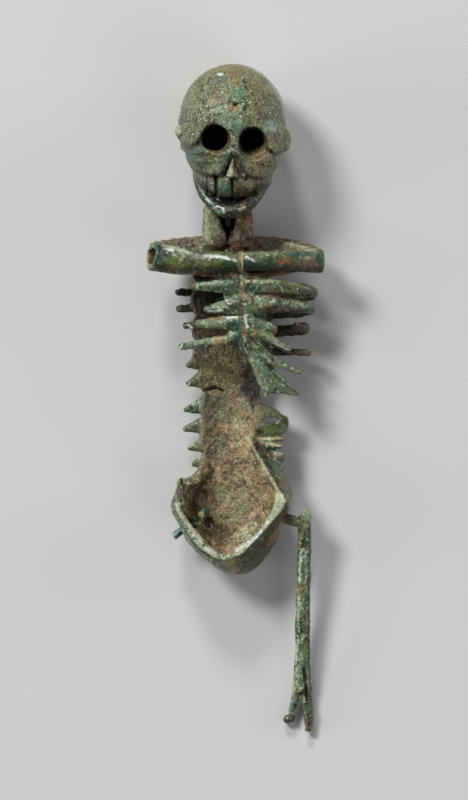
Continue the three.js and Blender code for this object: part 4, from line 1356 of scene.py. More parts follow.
# Painted highlights in white and frost lines along the bar and the shoulder's rim, olive and sage worn lines
# on the bar, and the seam in it with its dark edges.
BAR_STROKES = (
    (((-7, 15.3), (-5.4, 14.9), (-4.2, 14.6)), 0.16, T.FROST, 0.7, 1),
    (((-6.9, 15), (-6, 14.85)), 0.12, T.WHITE, 0.8, 1),
    (((-2.8, 14.3), (-1.2, 14.2), (0.2, 13.8)), 0.14, T.WHITE, 0.75, 1),
    (((-2.6, 14.6), (-0.4, 14.65)), 0.14, T.MOSS, 0.7, 0.9),
    (((1.2, 14.55), (3, 14.6), (4.4, 14.6)), 0.16, T.SAGE, 0.7, 1),
    (((1.3, 14.2), (2.2, 13.75)), 0.12, T.WHITE, 0.8, 1),
    (((0.8, 14.7), (0.72, 13.7), (0.8, 12.7)), 0.26, T.SAND, 0.85, 0.2),
    (((0.48, 14.4), (0.45, 12.9)), 0.07, T.INK, 0.7), (((1.08, 14.3), (1.05, 12.9)), 0.07, T.INK, 0.7),
    (((-8.6, 15.1), (-8.85, 14.2), (-8.5, 13.1)), 0.12, T.FROST, 0.5, 0.8),
    (((5.2, 15.6), (7.6, 15.15)), 0.1, T.FROST, 0.6, 0.9),
    (((-6.4, 16.2), (-3.8, 16.4)), 0.1, T.FROST, 0.6, 0.8),
)

# The colours of the ribs at the front, and of the broken ones at the back. Painted shade among them: ink at
# the right ends of the hoops, under the rear rib's tip, over the upper broken rib on the left and in the
# hollow beside the breast leaf, and umber on the lower faces of the second hoop and on the rear band.
RIB_DABS = (
    (-2.6, 11.6, 1.6, 0.35, T.MINT, 0.4), (-0.3, 11.3, 1, 0.6, T.TEAL, 0.65, 0, 0.95),
    (-1.9, 11, 1.2, 0.3, T.PINE, 0.7, 0, 0.9), (1.6, 11.1, 0.6, 0.4, T.TEAL, 0.7, 0, 0.9),
    (3, 11.75, 1.2, 0.25, T.SAGE, 0.5, 0, 0.8), (5.4, 11.3, 2.2, 0.45, T.DUSK, 0.55),
    (5.6, 10.35, 2.4, 0.4, T.UMBER, 0.65), (6.3, 10.3, 1.4, 0.35, T.OLIVE, 0.7, 0, 0.1),
    (7.7, 10.9, 1, 0.7, T.INK, 0.7), (7.5, 9, 0.8, 0.5, T.INK), (3.9, 10.4, 0.7, 0.3, T.RUST, 0.7),
    (2.9, 10.5, 0.6, 0.2, T.INK), (-1.1, 9.9, 1.2, 0.35, T.MINT, 0.4, 20),
    (0.2, 9.4, 0.5, 0.6, T.PINE, 0.6, 0, 0.9), (1.6, 9.9, 0.8, 0.35, T.EARTH, 0.7),
    (2, 8.9, 0.9, 0.3, T.MOSS, 0.5), (3.8, 9, 1, 0.35, T.UMBER, 0.8), (3, 9.8, 0.8, 0.3, T.MINT, 0.4),
    (5.2, 8.9, 2.4, 0.35, T.UMBER, 0.8), (6.3, 9.45, 1.6, 0.22, T.MINT, 0.5, -6),
    (6.3, 8.6, 2, 0.35, T.UMBER, 0.85, -3), (-2.6, 7.5, 1.5, 0.5, T.MINT, 0.35),
    (-1.8, 8.1, 0.6, 0.25, T.OCHRE), (0.1, 7.3, 0.7, 0.6, T.TEAL, 0.75, 0, 0.95),
    (-1.1, 6.6, 0.6, 0.4, T.UMBER, 0.8), (-2.8, 6.55, 1.1, 0.4, T.EARTH, 0.8),
    (-3.7, 5.9, 1.5, 0.3, T.MINT, 0.45, 10), (-3.6, 5.3, 1.4, 0.2, T.PINE, 0.6, 10),
    (-5.1, 5.3, 0.3, 0.35, T.INK, 0.7, 0, 1), (-1.2, 5.8, 0.8, 0.45, T.TAN, 0.55),
    (-1.7, 6.1, 0.5, 0.3, T.OCHRE, 0.4), (0.5, 5.7, 0.6, 1, T.TEAL, 0.65, 0, 0.9),
    (1.05, 6.9, 0.2, 0.9, T.RUST, 0.55), (2.1, 6.4, 0.5, 0.4, T.OCHRE, 0.55),
    (1.8, 5.6, 0.6, 0.7, T.PINE, 0.5, -30, 0.8), (3.2, 7.4, 1, 0.35, T.MINT, 0.4, 0, 0.9),
    (3.2, 6.6, 0.9, 0.2, T.PINE, 0.6, -20), (4.3, 5.8, 1.6, 0.3, T.SAGE, 0.6, -32),
    (3.8, 5.4, 1.2, 0.2, T.PINE, 0.6, -32), (6.9, 4.5, 1, 0.4, T.EARTH, 0.8),
    (6.6, 4.1, 1.2, 0.2, T.INK, 0.7), (6.2, 7, 1.9, 0.8, T.UMBER, 0.8), (6.5, 7.65, 0.35, 0.2, T.SAND, 0.7),
    (2.7, 3.3, 0.9, 1.9, T.MINT, 0.35, 22, 0.5), (3.9, 1.9, 0.8, 1, T.FERN, 0.4),
    (5.2, 3.1, 1.6, 0.25, T.SAGE, 0.6, -28), (6.3, 0.5, 0.7, 0.2, T.SAGE, 0.5, -15),
    (3.2, 1.2, 0.5, 0.5, T.SAGE, 0.3), (-5, 10.7, 1.3, 0.6, T.INK, 0.95, 0, 0.9),
    (-4.7, 9, 1.1, 0.55, T.DUSK, 0.8, 0, 0.9), (-4.7, 7.3, 0.5, 0.5, T.DUSK, 0.7, 0, 0.9),
    (-3.5, 8.6, 0.4, 1.6, T.EARTH), (-3.2, 4, 0.9, 1.2, T.DUSK), (-1.9, 3, 1.3, 2, T.STRAW, 0.4, -20),
    (0.7, 2.8, 1, 2.4, T.INK, 0.55), (-1.6, 4.4, 0.4, 0.35, T.RUST), (-1.1, 2.6, 0.8, 1.3, T.OLIVE, 0.4),
    (-4.1, 3.6, 1, 0.8, T.DUSK, 0.8, 0, 0.6), (-4.2, 1.7, 1, 0.8, T.DUSK, 0.8, 0, 0.6),
    (-4, 3.9, 0.5, 0.2, T.SAGE), (-4, 2, 0.5, 0.2, T.SAGE),
)

# The painted glints in white, frost and sky, and painted shade in the dark lines between the ribs and under
# the second left leaf; sand, earth and rust run down the breastbone's seam, and sage lines along the ribs'
# upper edges.
RIB_STROKES = (
    (((0.75, 12.4), (0.85, 11.3), (0.75, 10.4)), 0.15, T.SAND, 0.6, 0.3),
    (((0.8, 9.9), (0.85, 8.9), (1.05, 8)), 0.14, T.EARTH, 0.75),
    (((1.15, 7.2), (1.15, 5.6)), 0.16, T.RUST, 0.5),
    (((-2.6, 8.5), (-1.4, 8.45), (0.6, 8.3)), 0.12, T.BLACK, 0.85),
    (((-2.5, 8.75), (-1, 8.85)), 0.09, T.WHITE, 0.85, 1), (((-0.6, 8.1), (0.4, 8.2)), 0.08, T.WHITE, 0.7, 1),
    (((1.2, 8.2), (1.3, 7.5), (1.5, 7.2)), 0.11, T.WHITE, 0.85, 1),
    (((-4.5, 7.45), (-4.2, 7.15)), 0.13, T.WHITE, 0.9, 1),
    (((-5.3, 5.1), (-5.1, 5.45)), 0.08, T.WHITE, 0.8, 1),
    (((-4.5, 1.35), (-4.3, 1.7)), 0.09, T.WHITE, 0.8, 1),
    (((1.4, 10.2), (3.2, 10.6), (4.6, 10.3)), 0.1, T.INK, 0.7),
    (((1.3, 8.1), (3.6, 8.3), (5, 7.9)), 0.1, T.INK), (((2.3, 6.6), (3.6, 5.3), (5.6, 4.5)), 0.09, T.INK),
    (((4.2, 5.5), (5.6, 4.9)), 0.08, T.WHITE, 0.6, 1),
    (((3.1, 4.4), (4.2, 3.3), (6.2, 2.5)), 0.1, T.FROST, 0.5, 0.9),
    (((3.6, 2.9), (5.4, 1.4), (6.7, 0.4)), 0.09, T.INK, 0.7),
    (((1.2, 5), (2, 3.2), (3.2, 0.2)), 0.12, T.FROST, 0.6, 0.8),
    (((3.4, 0.2), (5.2, 0.35), (6.6, 0.2)), 0.09, T.SKY, 0.6, 1),
    (((-0.4, 9), (-1.6, 10)), 0.08, T.SAGE, 0.6, 0.9), (((-4.2, 11.85), (-1.4, 12)), 0.1, T.SAGE, 0.6, 0.9),
    (((2, 11.9), (5.2, 11.8), (7.4, 11.1)), 0.1, T.SAGE, 0.6, 0.9),
)

# The colours of the lower back and the pelvis bowl. Painted shade among them: umber down the bowl's left
# inner wall, which is dark earth and painted shade both; a black cast shadow beside the wire's nubs; black in
# the gap under the loop; ink on the bowl's right outer wall. Painted highlights: sand on the tops of the two
# upper loin ends and a sky line on the third.
PELVIS_DABS = (
    (-2, -0.3, 1.2, 0.8, T.SLATE), (-0.8, -1.2, 1.4, 0.9, T.SAGE, 0.5), (-2.6, -2, 1.1, 4, T.DUSK, 0.4),
    (2.3, -0.6, 0.9, 0.8, T.EARTH), (1.7, -2.1, 0.3, 0.25, T.RUST), (2.3, -2.2, 0.7, 1.4, T.EARTH, 0.4),
    (-2.1, -2, 0.8, 0.7, T.SLATE, 0.5), (-0.2, -3, 1.5, 0.7, T.SAND, 0.45),
    (-1.5, -3.3, 0.5, 0.35, T.ORANGE, 0.35), (-0.9, -4.9, 0.4, 0.5, T.SLATE, 0.75),
    (-2.4, -4.8, 0.6, 0.6, T.SLATE, 0.5), (-2.7, -5, 0.3, 0.3, T.MINT, 0.3), (0.6, -4.9, 1.2, 1, T.TAN),
    (0.5, -6.6, 1.8, 0.6, T.EARTH), (0.9, -7.2, 1.1, 0.5, T.SAND, 0.4), (1.9, -6, 0.2, 0.2, T.MINT, 0.5),
    (-0.7, -8.1, 0.25, 0.25, T.DUSK, 0.7), (-0.7, -9.4, 0.5, 0.6, T.SAGE, 0.5), (-2, -8, 0.9, 0.5, T.EARTH),
    (2.6, -8.9, 1.3, 1.6, T.TAN, 0.5), (-3.4, -8.7, 2, 0.7, T.UMBER, 0.6, 50),
    (-3.6, -9.4, 1.4, 0.3, T.UMBER, 0.8, 65), (-2.9, -9.6, 0.7, 0.18, T.UMBER, 0.45, 60),
    (-4.2, -10.6, 0.35, 0.8, T.OCHRE, 0.6, 10), (-3.6, -11, 0.4, 1.1, T.UMBER, 0.85, 10),
    (-4.4, -9.9, 0.25, 0.8, T.OCHRE, 0.5), (0.2, -10.4, 2, 2.4, T.SAGE, 0.25),
    (1.5, -13, 1.2, 0.5, T.SAGE, 0.5, 35), (0.9, -10.8, 0.6, 0.6, T.SAGE, 0.35),
    (-1.6, -13.4, 1.8, 0.9, T.EARTH, 0.8, -35), (0, -14.4, 1.4, 0.5, T.EARTH, 0.6, 10),
    (1.2, -13.3, 1, 0.15, T.SAND, 0.6, 30), (-2.35, -12.3, 0.7, 0.55, T.BLACK, 1, 20, 0),
    (2.9, -5.4, 1.4, 0.6, T.PINE, 0.85, -55, 0.7), (2.8, -5, 1.5, 0.35, T.INK, 0.8, -55),
    (4.2, -7.6, 1.5, 0.6, T.INK, 0.6, -60, 0.7), (4.7, -8.8, 0.5, 0.8, T.INK, 0.6, -60),
    (4.1, -3.1, 1.4, 0.5, T.MOSS, 0.75, 0, 0.8), (3.6, -1.2, 1.4, 0.5, T.OLIVE, 0.8, 0, 0.5),
    (2.6, -3.3, 0.35, 0.25, T.BLACK, 0.8), (5.2, -1.9, 0.4, 0.9, T.DUSK, 0.7, 0, 0.8),
    (4.1, -3.92, 1.2, 0.14, T.SAND, 0.85, 0, 0.9), (4.2, -4.6, 1, 0.2, T.SAND, 0.6, -12),
    (3.9, -5.6, 0.3, 0.3, T.RUST, 0.8), (4.7, -5.6, 0.7, 0.35, T.EARTH),
    (4.7, -5.4, 0.5, 0.12, T.SKY, 0.5, -10, 0.9), (4.6, -6.75, 0.8, 0.4, T.SLATE),
    (5, -8.2, 0.4, 0.7, T.EARTH, 0.7), (5.6, -9.2, 0.3, 0.4, T.EARTH),
    (3.5, -15.4, 1.9, 1.7, T.DUSK, 0.95, 40, 0.6), (3.9, -14.6, 1.6, 0.5, T.UMBER, 0.6, 55),
    (4.7, -12.4, 2.6, 0.8, T.UMBER, 0.85, 62), (4.3, -13.4, 1.6, 0.25, T.OCHRE, 0.6, 62),
    (3.9, -12.9, 1.2, 0.2, T.PINE, 0.6, 55), (2.2, -16.1, 1.3, 0.8, T.DUSK, 0.9, 20, 0.6),
    (-0.1, -16.7, 0.55, 1, T.STRAW, 0.9, 20), (0.5, -17.1, 0.4, 0.3, T.TAN), (-0.9, -16.9, 0.7, 0.3, T.DUSK),
    (-5.45, -9.3, 0.75, 1.5, T.INK, 0.9, 0, 0.7), (-4.3, -8.4, 0.7, 0.5, T.DUSK, 0.8),
    (-3.9, -15, 1.8, 0.2, T.PINE, 0.7, -40, 0.8),
)

# Painted highlights in white and sand lines along the bowl's rim and the edge of its right wall, painted
# shade in the ink lines beside them, a teal streak inside the rim, and the flake's sage edge.
PELVIS_STROKES = (
    (((1.5, -4), (2.9, -6.4), (4.1, -8.3), (4.9, -9.9)), 0.1, T.SAND, 0.65, 0.8),
    (((1.9, -3.95), (3.3, -6.2), (4.5, -8.2)), 0.16, T.INK, 0.7, 0.8),
    (((-5.4, -8.2), (-5.8, -9.2), (-5.6, -10.4)), 0.08, T.SAGE, 0.7, 0.9),
    (((2.8, -13.3), (1.6, -14.35), (0.3, -15.2)), 0.18, T.WHITE, 0.7, 0.9),
    (((5.45, -10.6), (3.75, -12.75), (2.4, -14.2), (0.8, -15.75)), 0.12, T.INK, 0.7),
    (((-5.8, -10.9), (-4.95, -12.8), (-3.75, -14.65), (-2.5, -15.65), (-1.3, -16.2)), 0.12, T.INK, 0.75, 0.6),
    (((-5.5, -10.5), (-5.35, -11.3)), 0.2, T.WHITE, 0.5, 0.7),
    (((-4.3, -12.9), (-3.2, -14.25)), 0.2, T.WHITE, 0.5, 0.7),
    (((-4.8, -11.4), (-4, -12.5), (-3.2, -13.4), (-2.2, -14.5)), 0.14, T.INK),
    (((-2.7, -14.9), (-1.8, -15.4)), 0.16, T.WHITE, 0.8, 1),
    (((-5.2, -11.9), (-4.6, -13)), 0.09, T.TEAL, 0.7, 0.9),
)


@dataclass
class Torso(Piece):
    """The neck, shoulder bar, ribs, back and pelvis bowl, cast as one."""

    node: str = "torso"
    slot: str = "torso_bronze"
    finish: Patina = Patina("torso_patina", grain=0.2, contrast=0.4, dark=0.4, pale=0.4)
    voxel: float = 0.118
    neck_prongs: tuple = ((-2.5, -1.4, 0.55, 1.62), (1.2, 0.6, 0.79, 1.39))
    neck_top: float = 19.4
    neck_foot: float = 14.5
    neck_z: float = 4.6
    neck_half_depth: float = 1.5
    bar_half_heights: tuple[float, ...] = (1.5, 1.45, 1.05, 0.98, 1.05, 1.22)
    bar_path: tuple = (
        (-8.2, 14.3, 6.7), (-6.6, 14.05, 5.95), (-3.8, 13.75, 6.4), (0.6, 13.75, 7.1), (5.0, 13.8, 6.7),
        (8.95, 13.75, 5.7),
    )
    bar_half_depth: float = 0.95
    arm_hole_radius: float = 0.8
    arm_hole_depth: float = 2.6
    shoulder_half_width: float = 8.25
    shoulder_y: tuple[float, float] = (12.0, 16.35)
    shoulder_z: tuple[float, float, float] = (1.2, 6.4, 5.0)
    shell_y: tuple[float, float] = (-8.0, 13.4)
    shell_x: float = -0.2
    chest_half_width: float = 3.95
    loin_half_width: float = 3.0
    trough: tuple[float, float, float] = (1.05, 1.25, 1.5)
    sternum: tuple = (0.9, 13.0, 4.6, 6.4)
    front_z: float = 6.85
    cage_side_z: float = 4.2
    cage_back_z: float = 1.4
    left_leaves: tuple = (
        (11.3, 0.88, -4.3, 11.25, 6.0, 0.38), (9.4, 1.1, -3.0, 8.9, 6.3, 0.2),
        (7.5, 0.78, -3.85, 7.6, 5.2, 0.42), (6.35, 0.62, -5.45, 5.2, 3.9, 0.34),
    )
    right_hoops: tuple = (
        (11.35, 8.1, 10.6, 9.9, (0.78, 0.72, 0.5, 0.42)), (9.5, 7.8, 9.0, 8.3, (1.05, 0.78, 0.42, 0.44)),
    )
    right_spikes: tuple = (
        (7.9, 2.6, 7.4, 4.4, 6.8, 6.2, 0.8, 0.5), (7.2, 3.2, 6.1, 5.9, 4.8, 5.9, 0.66, 0.4),
        (6.4, 3.4, 4.15, 7.0, 2.5, 5.2, 0.85, 0.2),
    )
    right_backs: tuple = ((6.85, 7.15, 5.9, 7.35, 4.4, 0.68), (4.7, 7.2, 7.5, 4.55, 4.3, 0.42))
    left_stubs: tuple = (
        (10.7, 5.9, 0.0, 0.5, 0.42), (9.05, 5.7, 0.1, 0.47, 0.4), (7.3, 5.05, 0.1, 0.42, 0.38),
        (3.2, 4.7, 0.6, 1.05, 0.25), (1.4, 4.75, 0.6, 1.05, 0.25), (-1.15, 5.0, 0.55, 1.1, 0.22),
        (-3.1, 5.1, 0.55, 1.05, 0.22), (-5.0, 4.6, 0.45, 0.95, 0.2), (-6.6, 4.2, 0.45, 0.85, 0.2),
    )
    loin_loop_egg: tuple = ((3.4, -2.07, 2.8), (2.2, 1.68, 0.56))
    loin_loop_slot: tuple = (3.7, -2.12, 0.85, 0.33)
    loin_ends: tuple = (
        (2.2, -4.0, 5.1, -3.95, 0.22), (2.2, -4.2, 5.05, -4.7, 0.25), (3.4, -5.2, 5.2, -5.85, 0.56),
        (3.8, -6.6, 5.15, -6.8, 0.48),
    )
    bowl_rim: tuple = (
        (-3.0, -6.9, 2.9, 0.0, 0.8), (-3.9, -7.75, 3.6, 0.0, 0.8),
        (-5.05, -8.4, 4.5, 0.1, 0.8), (-5.55, -9.6, 5.3, 0.1, 0.8),
        (-5.85, -10.8, 6.0, 0.1, 0.85), (-4.95, -12.7, 6.6, 0.2, 0.86), (-3.75, -14.6, 6.8, 0.3, 1.15),
        (-2.5, -15.55, 6.85, 0.4, 0.95), (-1.0, -16.0, 6.9, 1.1, 0.68), (0.7, -15.5, 7.0, 2.1, 0.55),
        (2.3, -14.0, 7.0, 1.95, 0.5), (3.6, -12.6, 7.0, 1.2, 0.72), (5.25, -10.25, 7.0, 0.3, 1.3),
        (4.1, -8.4, 6.0, 1.2, 0.4), (2.9, -6.4, 4.9, 1.2, 0.4), (1.9, -4.7, 3.4, 0.9, 0.4),
    )
    flake_path: tuple = ((-5.1, -7.95, 5.1), (-5.28, -8.7, 5.6), (-5.3, -9.8, 6.0), (-5.05, -10.8, 6.1))
    bowl_collar: tuple[float, float] = (2.5, 0.25)
    wall_curl: tuple = ((4.9, -8.7, 4.3), (5.6, -8.95, 4.3), (5.66, -9.7, 4.3), (5.25, -10.6, 4.3))
    bowl_floor: float = 1.3
    bowl_centre: tuple[float, float] = (-0.2, -11.0)
    bowl_foot_scale: float = 0.62
    bowl_mouth_shift: float = 4.0
    web: tuple = ((-1.3, 3.3), (12.6, 5.6), (6.0, 6.6))
    leaf_left: tuple = ((1.0, 6.0, 0), (1.8, 3.7, 0), (2.5, 2.2, 0), (3.3, -0.05, 0))
    leaf_spike: tuple = ((3.7, 0.55), (5.4, 0.45), (6.75, 0.1))
    leaf_right: tuple = ((6.85, 0.35, 0), (5.5, 1.6, 0), (4.0, 3.2, 0), (3.2, 4.8, 0))
    leaf_root: tuple[float, float] = (1.8, 6.2)
    leaf_z: float = 6.25
    leaf_thickness: float = 0.8
    tang_room: tuple = (-0.5, 0.5, 1.0, 16.9, 23.0, 4.3, 12.0)
    wire_room: tuple = ((-2.9, -11.5, 3.4), (-5.95, -13.8, 3.4), 0.62)
    tenon_room: tuple = ((4.2, -11.8, 4.1), (6.9, -12.35, 4.1), 0.82)

    def half_width(self, y: Array | float) -> Array:
        """The half width of the back at a height, from the chest down to the loins."""
        share = ramp(6.0 - np.asarray(y, float), 0.0, 6.0)
        return between(self.chest_half_width, self.loin_half_width, share)

    def neck(self) -> list[Form]:
        """The two prongs of the neck, wider at the foot, and the wall behind them."""
        forms = []
        top_y, foot_y, z = self.neck_top, self.neck_foot, self.neck_z
        for top_x, foot_x, top_half, foot_half in self.neck_prongs:
            path = [(top_x, top_y, z), ((top_x + foot_x) / 2, (top_y + foot_y) / 2, z), (foot_x, foot_y, z)]
            forms.append(rod(path, taper(top_half, foot_half), even(self.neck_half_depth), 28, 24))
        forms.append(rod([(-0.4, 18.9, 3.2), (-0.4, foot_y, 3.2)], taper(2.16, 2.4), even(0.75), 28, 16))
        return forms

    def shoulder(self) -> Form:
        """The shoulder, a block behind the bar whose rough front leans back towards its upper rim."""
        back_z, front_z, rim_z = self.shoulder_z

        def reshape(p: Array) -> Array:
            """Turns the unit box into the leaning block."""
            x = 2 * self.shoulder_half_width * p[:, 0]
            outward = np.abs(2 * p[:, 0])
            forward, up = p[:, 2] + 0.5, p[:, 1] + 0.5
            fall = 0.35 * forward + 1.1 * outward ** 3 * np.where(x > 0, 1.0, 0.45)
            bottom = self.shoulder_y[0] + 1.2 * outward ** 2 + 0.8 * (1 - forward)
            back = back_z + 2.6 * outward ** 2
            front = between(front_z, rim_z, up) - 0.7 * outward ** 2
            y = between(bottom, self.shoulder_y[1] - fall, up)
            return np.stack([x + 0.3, y, between(back, front, forward)], 1)

        return unit_block(15, reshape)

    def bar(self) -> Form:
        """The shoulder bar with the hole for the lost arm in its left end."""
        depth = lambda t: self.bar_half_depth + 0.3 * (1 - t) ** 2 + 0.2 * t ** 4
        bar = rod(self.bar_path, swept(self.bar_half_heights), depth, 40, 70, blunt=(True, True))
        bar = ease(melt(bar, 0.12), 0.5, 3)
        start, after = (np.array(p) for p in self.bar_path[:2])
        out = (start - after) / np.linalg.norm(start - after)
        deep = out * self.arm_hole_depth
        return cut(bar, [pin(start + deep, start - deep, self.arm_hole_radius, 28)])

    def back(self) -> Form:
        """The trough of the back, which flattens out where it runs into the floor of the bowl."""
        low, high = self.shell_y
        low_floor, floor, depth = self.trough

        def reshape(p: Array) -> Array:
            """Bends the unit box into the trough."""
            y = between(low, high, p[:, 1] + 0.5)
            across = 2 * p[:, 0]
            inside = p[:, 2] + 0.5
            curl = ramp(y, low, low + 4.0)
            outer = -0.1 + 1.9 * curl * np.abs(across) ** 2.2
            inner = between(low_floor, floor, curl) + depth * curl * across ** 2
            ragged = 0.16 * np.sin(2.3 * y + 2.0 * np.sign(across)) + 0.12 * np.sin(5.1 * y + 1.3)
            wide = self.half_width(y) * (1 - 0.05 * inside) + ragged * np.abs(across) ** 4 - 0.05
            return np.stack([self.shell_x + wide * across, y, between(outer, inner, inside)], 1)

        return unit_block(24, reshape)

    def back_bands(self) -> list[Form]:
        """The rib bands, half sunk into the outside of the back."""
        forms = []
        for y, _, droop, _, _ in self.left_stubs:
            root = y + droop * 0.8
            wide = float(self.half_width(root)) + 0.1
            path = [(self.shell_x + a * wide, root, 0.3 + 1.5 * abs(a) ** 2.2) for a in (-1, -0.6, 0, 0.6, 1)]
            forms.append(rod(path, even(0.36), even(0.4), 14, 24))
        return forms

    def stubs(self) -> list[Form]:
        """The broken ribs on the left side of the back."""
        forms = []
        for y, reach, droop, half, tip in self.left_stubs:
            root = y + droop
            root_x = self.shell_x - float(self.half_width(root)) + 0.6
            middle = (between(root_x, -reach, 0.5), (root + y) / 2, 1.95)
            path = [(root_x, root, 1.55), middle, (-reach, y, 2.2)]
            forms.append(rod(path, taper(half, tip), taper(0.5, tip), 16, 20))
        return forms

    def front_ribs(self) -> list[Form]:
        """The ribs that spring from the breastbone."""
        x, top, bottom, z = self.sternum
        forms = [rod(
            [(x - 0.2, top, z), (x, (top + bottom) / 2, z + 0.15), (x + 0.4, bottom, z)],
            taper(0.75, 0.68), even(0.55), 20, 30,
        )]
        for y, half, end_x, end_y, end_z, tip in self.left_leaves:
            leaf = lambda t, a=half, b=tip: between(a, b, t ** 1.3)
            bend = (between(x, end_x, 0.5), between(y, end_y, 0.6), between(self.front_z, end_z, 0.2))
            path = [(x, y, self.front_z), bend, (end_x, end_y, end_z)]
            forms.append(rod(path, leaf, taper(0.5, 0.36), 24, 30))
        for y, reach, side_y, back_y, halves in self.right_hoops:
            foot = self.shell_x + float(self.half_width(back_y)) - 0.5
            path = [
                (x, y, self.front_z), (reach * 0.6, between(y, side_y, 0.3), self.front_z - 0.15),
                (reach * 0.92, between(y, side_y, 0.7), self.front_z - 1.3),
                (reach, between(side_y, back_y, 0.2), self.cage_side_z),
                (reach * 0.8, between(side_y, back_y, 0.7), self.cage_back_z + 1.1),
                (foot, back_y, self.cage_back_z + 0.4),
            ]
            forms.append(rod(path, even(0.42), swept(halves), 24, 50, reference=ALONG))
        for y, mid_x, mid_y, end_x, end_y, end_z, half, tip in self.right_spikes:
            path = [(x, y, self.front_z), (mid_x, mid_y, self.front_z - 0.05), (end_x, end_y, end_z)]
            forms.append(rod(path, taper(half, tip), taper(0.5, min(tip, 0.4)), 20, 30))
        for y, reach, end_x, end_y, end_z, half in self.right_backs:
            root_x = self.shell_x + float(self.half_width(y)) - 0.4
            path = [(root_x, y, self.cage_back_z), (reach * 0.8, y, self.cage_back_z + 0.5),
                    (reach + 0.2, between(y, end_y, 0.4), between(self.cage_back_z, end_z, 0.6)),
                    (end_x, end_y, end_z)]
            forms.append(rod(path, taper(0.42, 0.36), taper(half, half * 0.8), 18, 30, reference=ALONG))
        return forms

    def front_web(self) -> Form:
        """The thin wall behind the front ribs, close to the breastbone."""
        x0 = self.sternum[0]
        xs, ys, zs = self.web

        def reshape(p: Array) -> Array:
            """Lays the unit box behind the ribs."""
            down = 0.5 - p[:, 1]
            x = between(*xs, p[:, 0] + 0.5) + 0.5 * down
            z = between(*zs, p[:, 2] + 0.5) - 0.06 * (x - x0) ** 2
            return np.stack([x0 + (x - x0) * between(1.0, 0.7, down), between(*ys, down), z], 1)

        return unit_block(10, reshape)

    def breast_leaf(self) -> Form:
        """The broad leaf at the foot of the breastbone, with a spike at its lower right."""
        left, right = (
            [tuple(side.walked(s)[:2]) for s in np.linspace(0, 1, 12)]
            for side in (Course(self.leaf_left), Course(self.leaf_right))
        )
        leaf = melt(plate([*left, *self.leaf_spike, *right, self.leaf_root], 0.0, self.leaf_thickness), 0.11)
        points = points_of(leaf)
        away = np.maximum(0.0, points[:, 0] - 2.0)
        thinner = between(1.0, 0.5, np.minimum(1.0, away / 5.0))
        points[:, 2] = self.leaf_z + points[:, 2] * thinner - 0.2 * away ** 1.15
        put_points(leaf, points)
        return leaf

    def loin_loop(self) -> Form:
        """A rib of the loins that was bent back on itself, with a slot left between its limbs."""
        loop = ball(*self.loin_loop_egg, lambda p: np.where(p[:, 1] < 0.0, 3.0, 2.3), 56)
        points = points_of(loop)
        points[:, 1] -= 0.3 * np.maximum(0.0, points[:, 0] - 2.6) * ramp(points[:, 1], -2.1, -0.6)
        put_points(loop, points)
        root = block((0.0, -6.0, 0.0), (2.1, 2.0, 6.0))
        return cut(loop, [root, drill(*self.loin_loop_slot, 0.0, 6.0)])

    def loin_stumps(self) -> list[Form]:
        """The worn rib ends below the loop."""
        forms = []
        for root_x, y, end_x, end_y, half in self.loin_ends:
            bend = (between(root_x, end_x, 0.55), between(y, end_y, 0.6) - 0.18, 2.9)
            path = [(root_x, y, 2.2), bend, (end_x, end_y, 3.1)]
            forms.append(rod(path, even(half), even(0.42), 16, 20))
        return forms

    def flake(self) -> Form:
        """The curled strip of metal that stands up at the bowl's upper left."""
        return rod(self.flake_path, swept((0.2, 0.45, 0.48, 0.3)), swept((0.5, 1.1, 1.1, 0.6)), 16, 24)

    def bowl_body(self, hollow: bool) -> Form:
        """A solid of the bowl's plan, from its foot up to its rim.

        Args:
            hollow: True for the room inside the wall, lifted past the rim and run up into the back.

        Returns:
            The form.
        """
        centre_x, centre_y = self.bowl_centre
        floor = self.bowl_floor if hollow else -0.2
        rise, share = self.bowl_collar if hollow else (0.0, 0.0)
        rims, bellies, feet = [], [], []
        for i, (x, y, z, belly, wall) in enumerate(self.bowl_rim):
            out = np.array([x - centre_x, y - centre_y]) / math.hypot(x - centre_x, y - centre_y)
            mouth = self.bowl_mouth_shift if hollow and i in (0, len(self.bowl_rim) - 1) else 0.0
            edge = np.array([x, y]) - out * (wall if hollow else 0.0) + np.array([0.0, mouth])
            side = edge + out * belly * (0.75 if hollow else 1.0)
            foot = np.array([centre_x, centre_y]) + (edge - (centre_x, centre_y)) * self.bowl_foot_scale
            rims.append((*edge, z))
            bellies.append((*side, between(floor, z, 3.6 / 7.0)))
            feet.append((*foot, floor))
        rim, belly, foot = (Course(points, closed=True) for points in (rims, bellies, feet))

        def reshape(raw: Array) -> Array:
            """Turns the cylinder into the bowl's body."""
            down = (1.0 - raw[:, 2]) / 2.0
            turn = (np.arctan2(raw[:, 0], raw[:, 1]) / (2 * math.pi) + 1.0) % 1.0
            shares, spoke = np.unique(np.round(turn, 6), return_inverse=True)
            top, low, side = (np.array([c.at(s) for s in shares])[spoke] for c in (rim, foot, belly))
            pull = 2 * side - 0.5 * top - 0.5 * low
            d = np.clip((down - share) / (1.0 - share), 0.0, 1.0)[:, None]
            wall = top * (1 - d) ** 2 + pull * 2 * d * (1 - d) + low * d * d
            wall[:, 2] += rise * np.clip(1.0 - down / max(share, 1e-6), 0.0, 1.0)
            ends = np.where(down < 0.5, 6.0 + rise, floor)
            middle = np.stack([np.full(len(raw), centre_x), np.full(len(raw), centre_y), ends], 1)
            return np.where((np.hypot(raw[:, 0], raw[:, 1]) < 0.5)[:, None], middle, wall)

        return column(120, 20, reshape)

    def room(self) -> list[Form]:
        """Cutters for the room that the torso keeps for the tang, the wire and the tenon."""
        return [wedge_block(*self.tang_room), pin(*self.wire_room), pin(*self.tenon_room)]

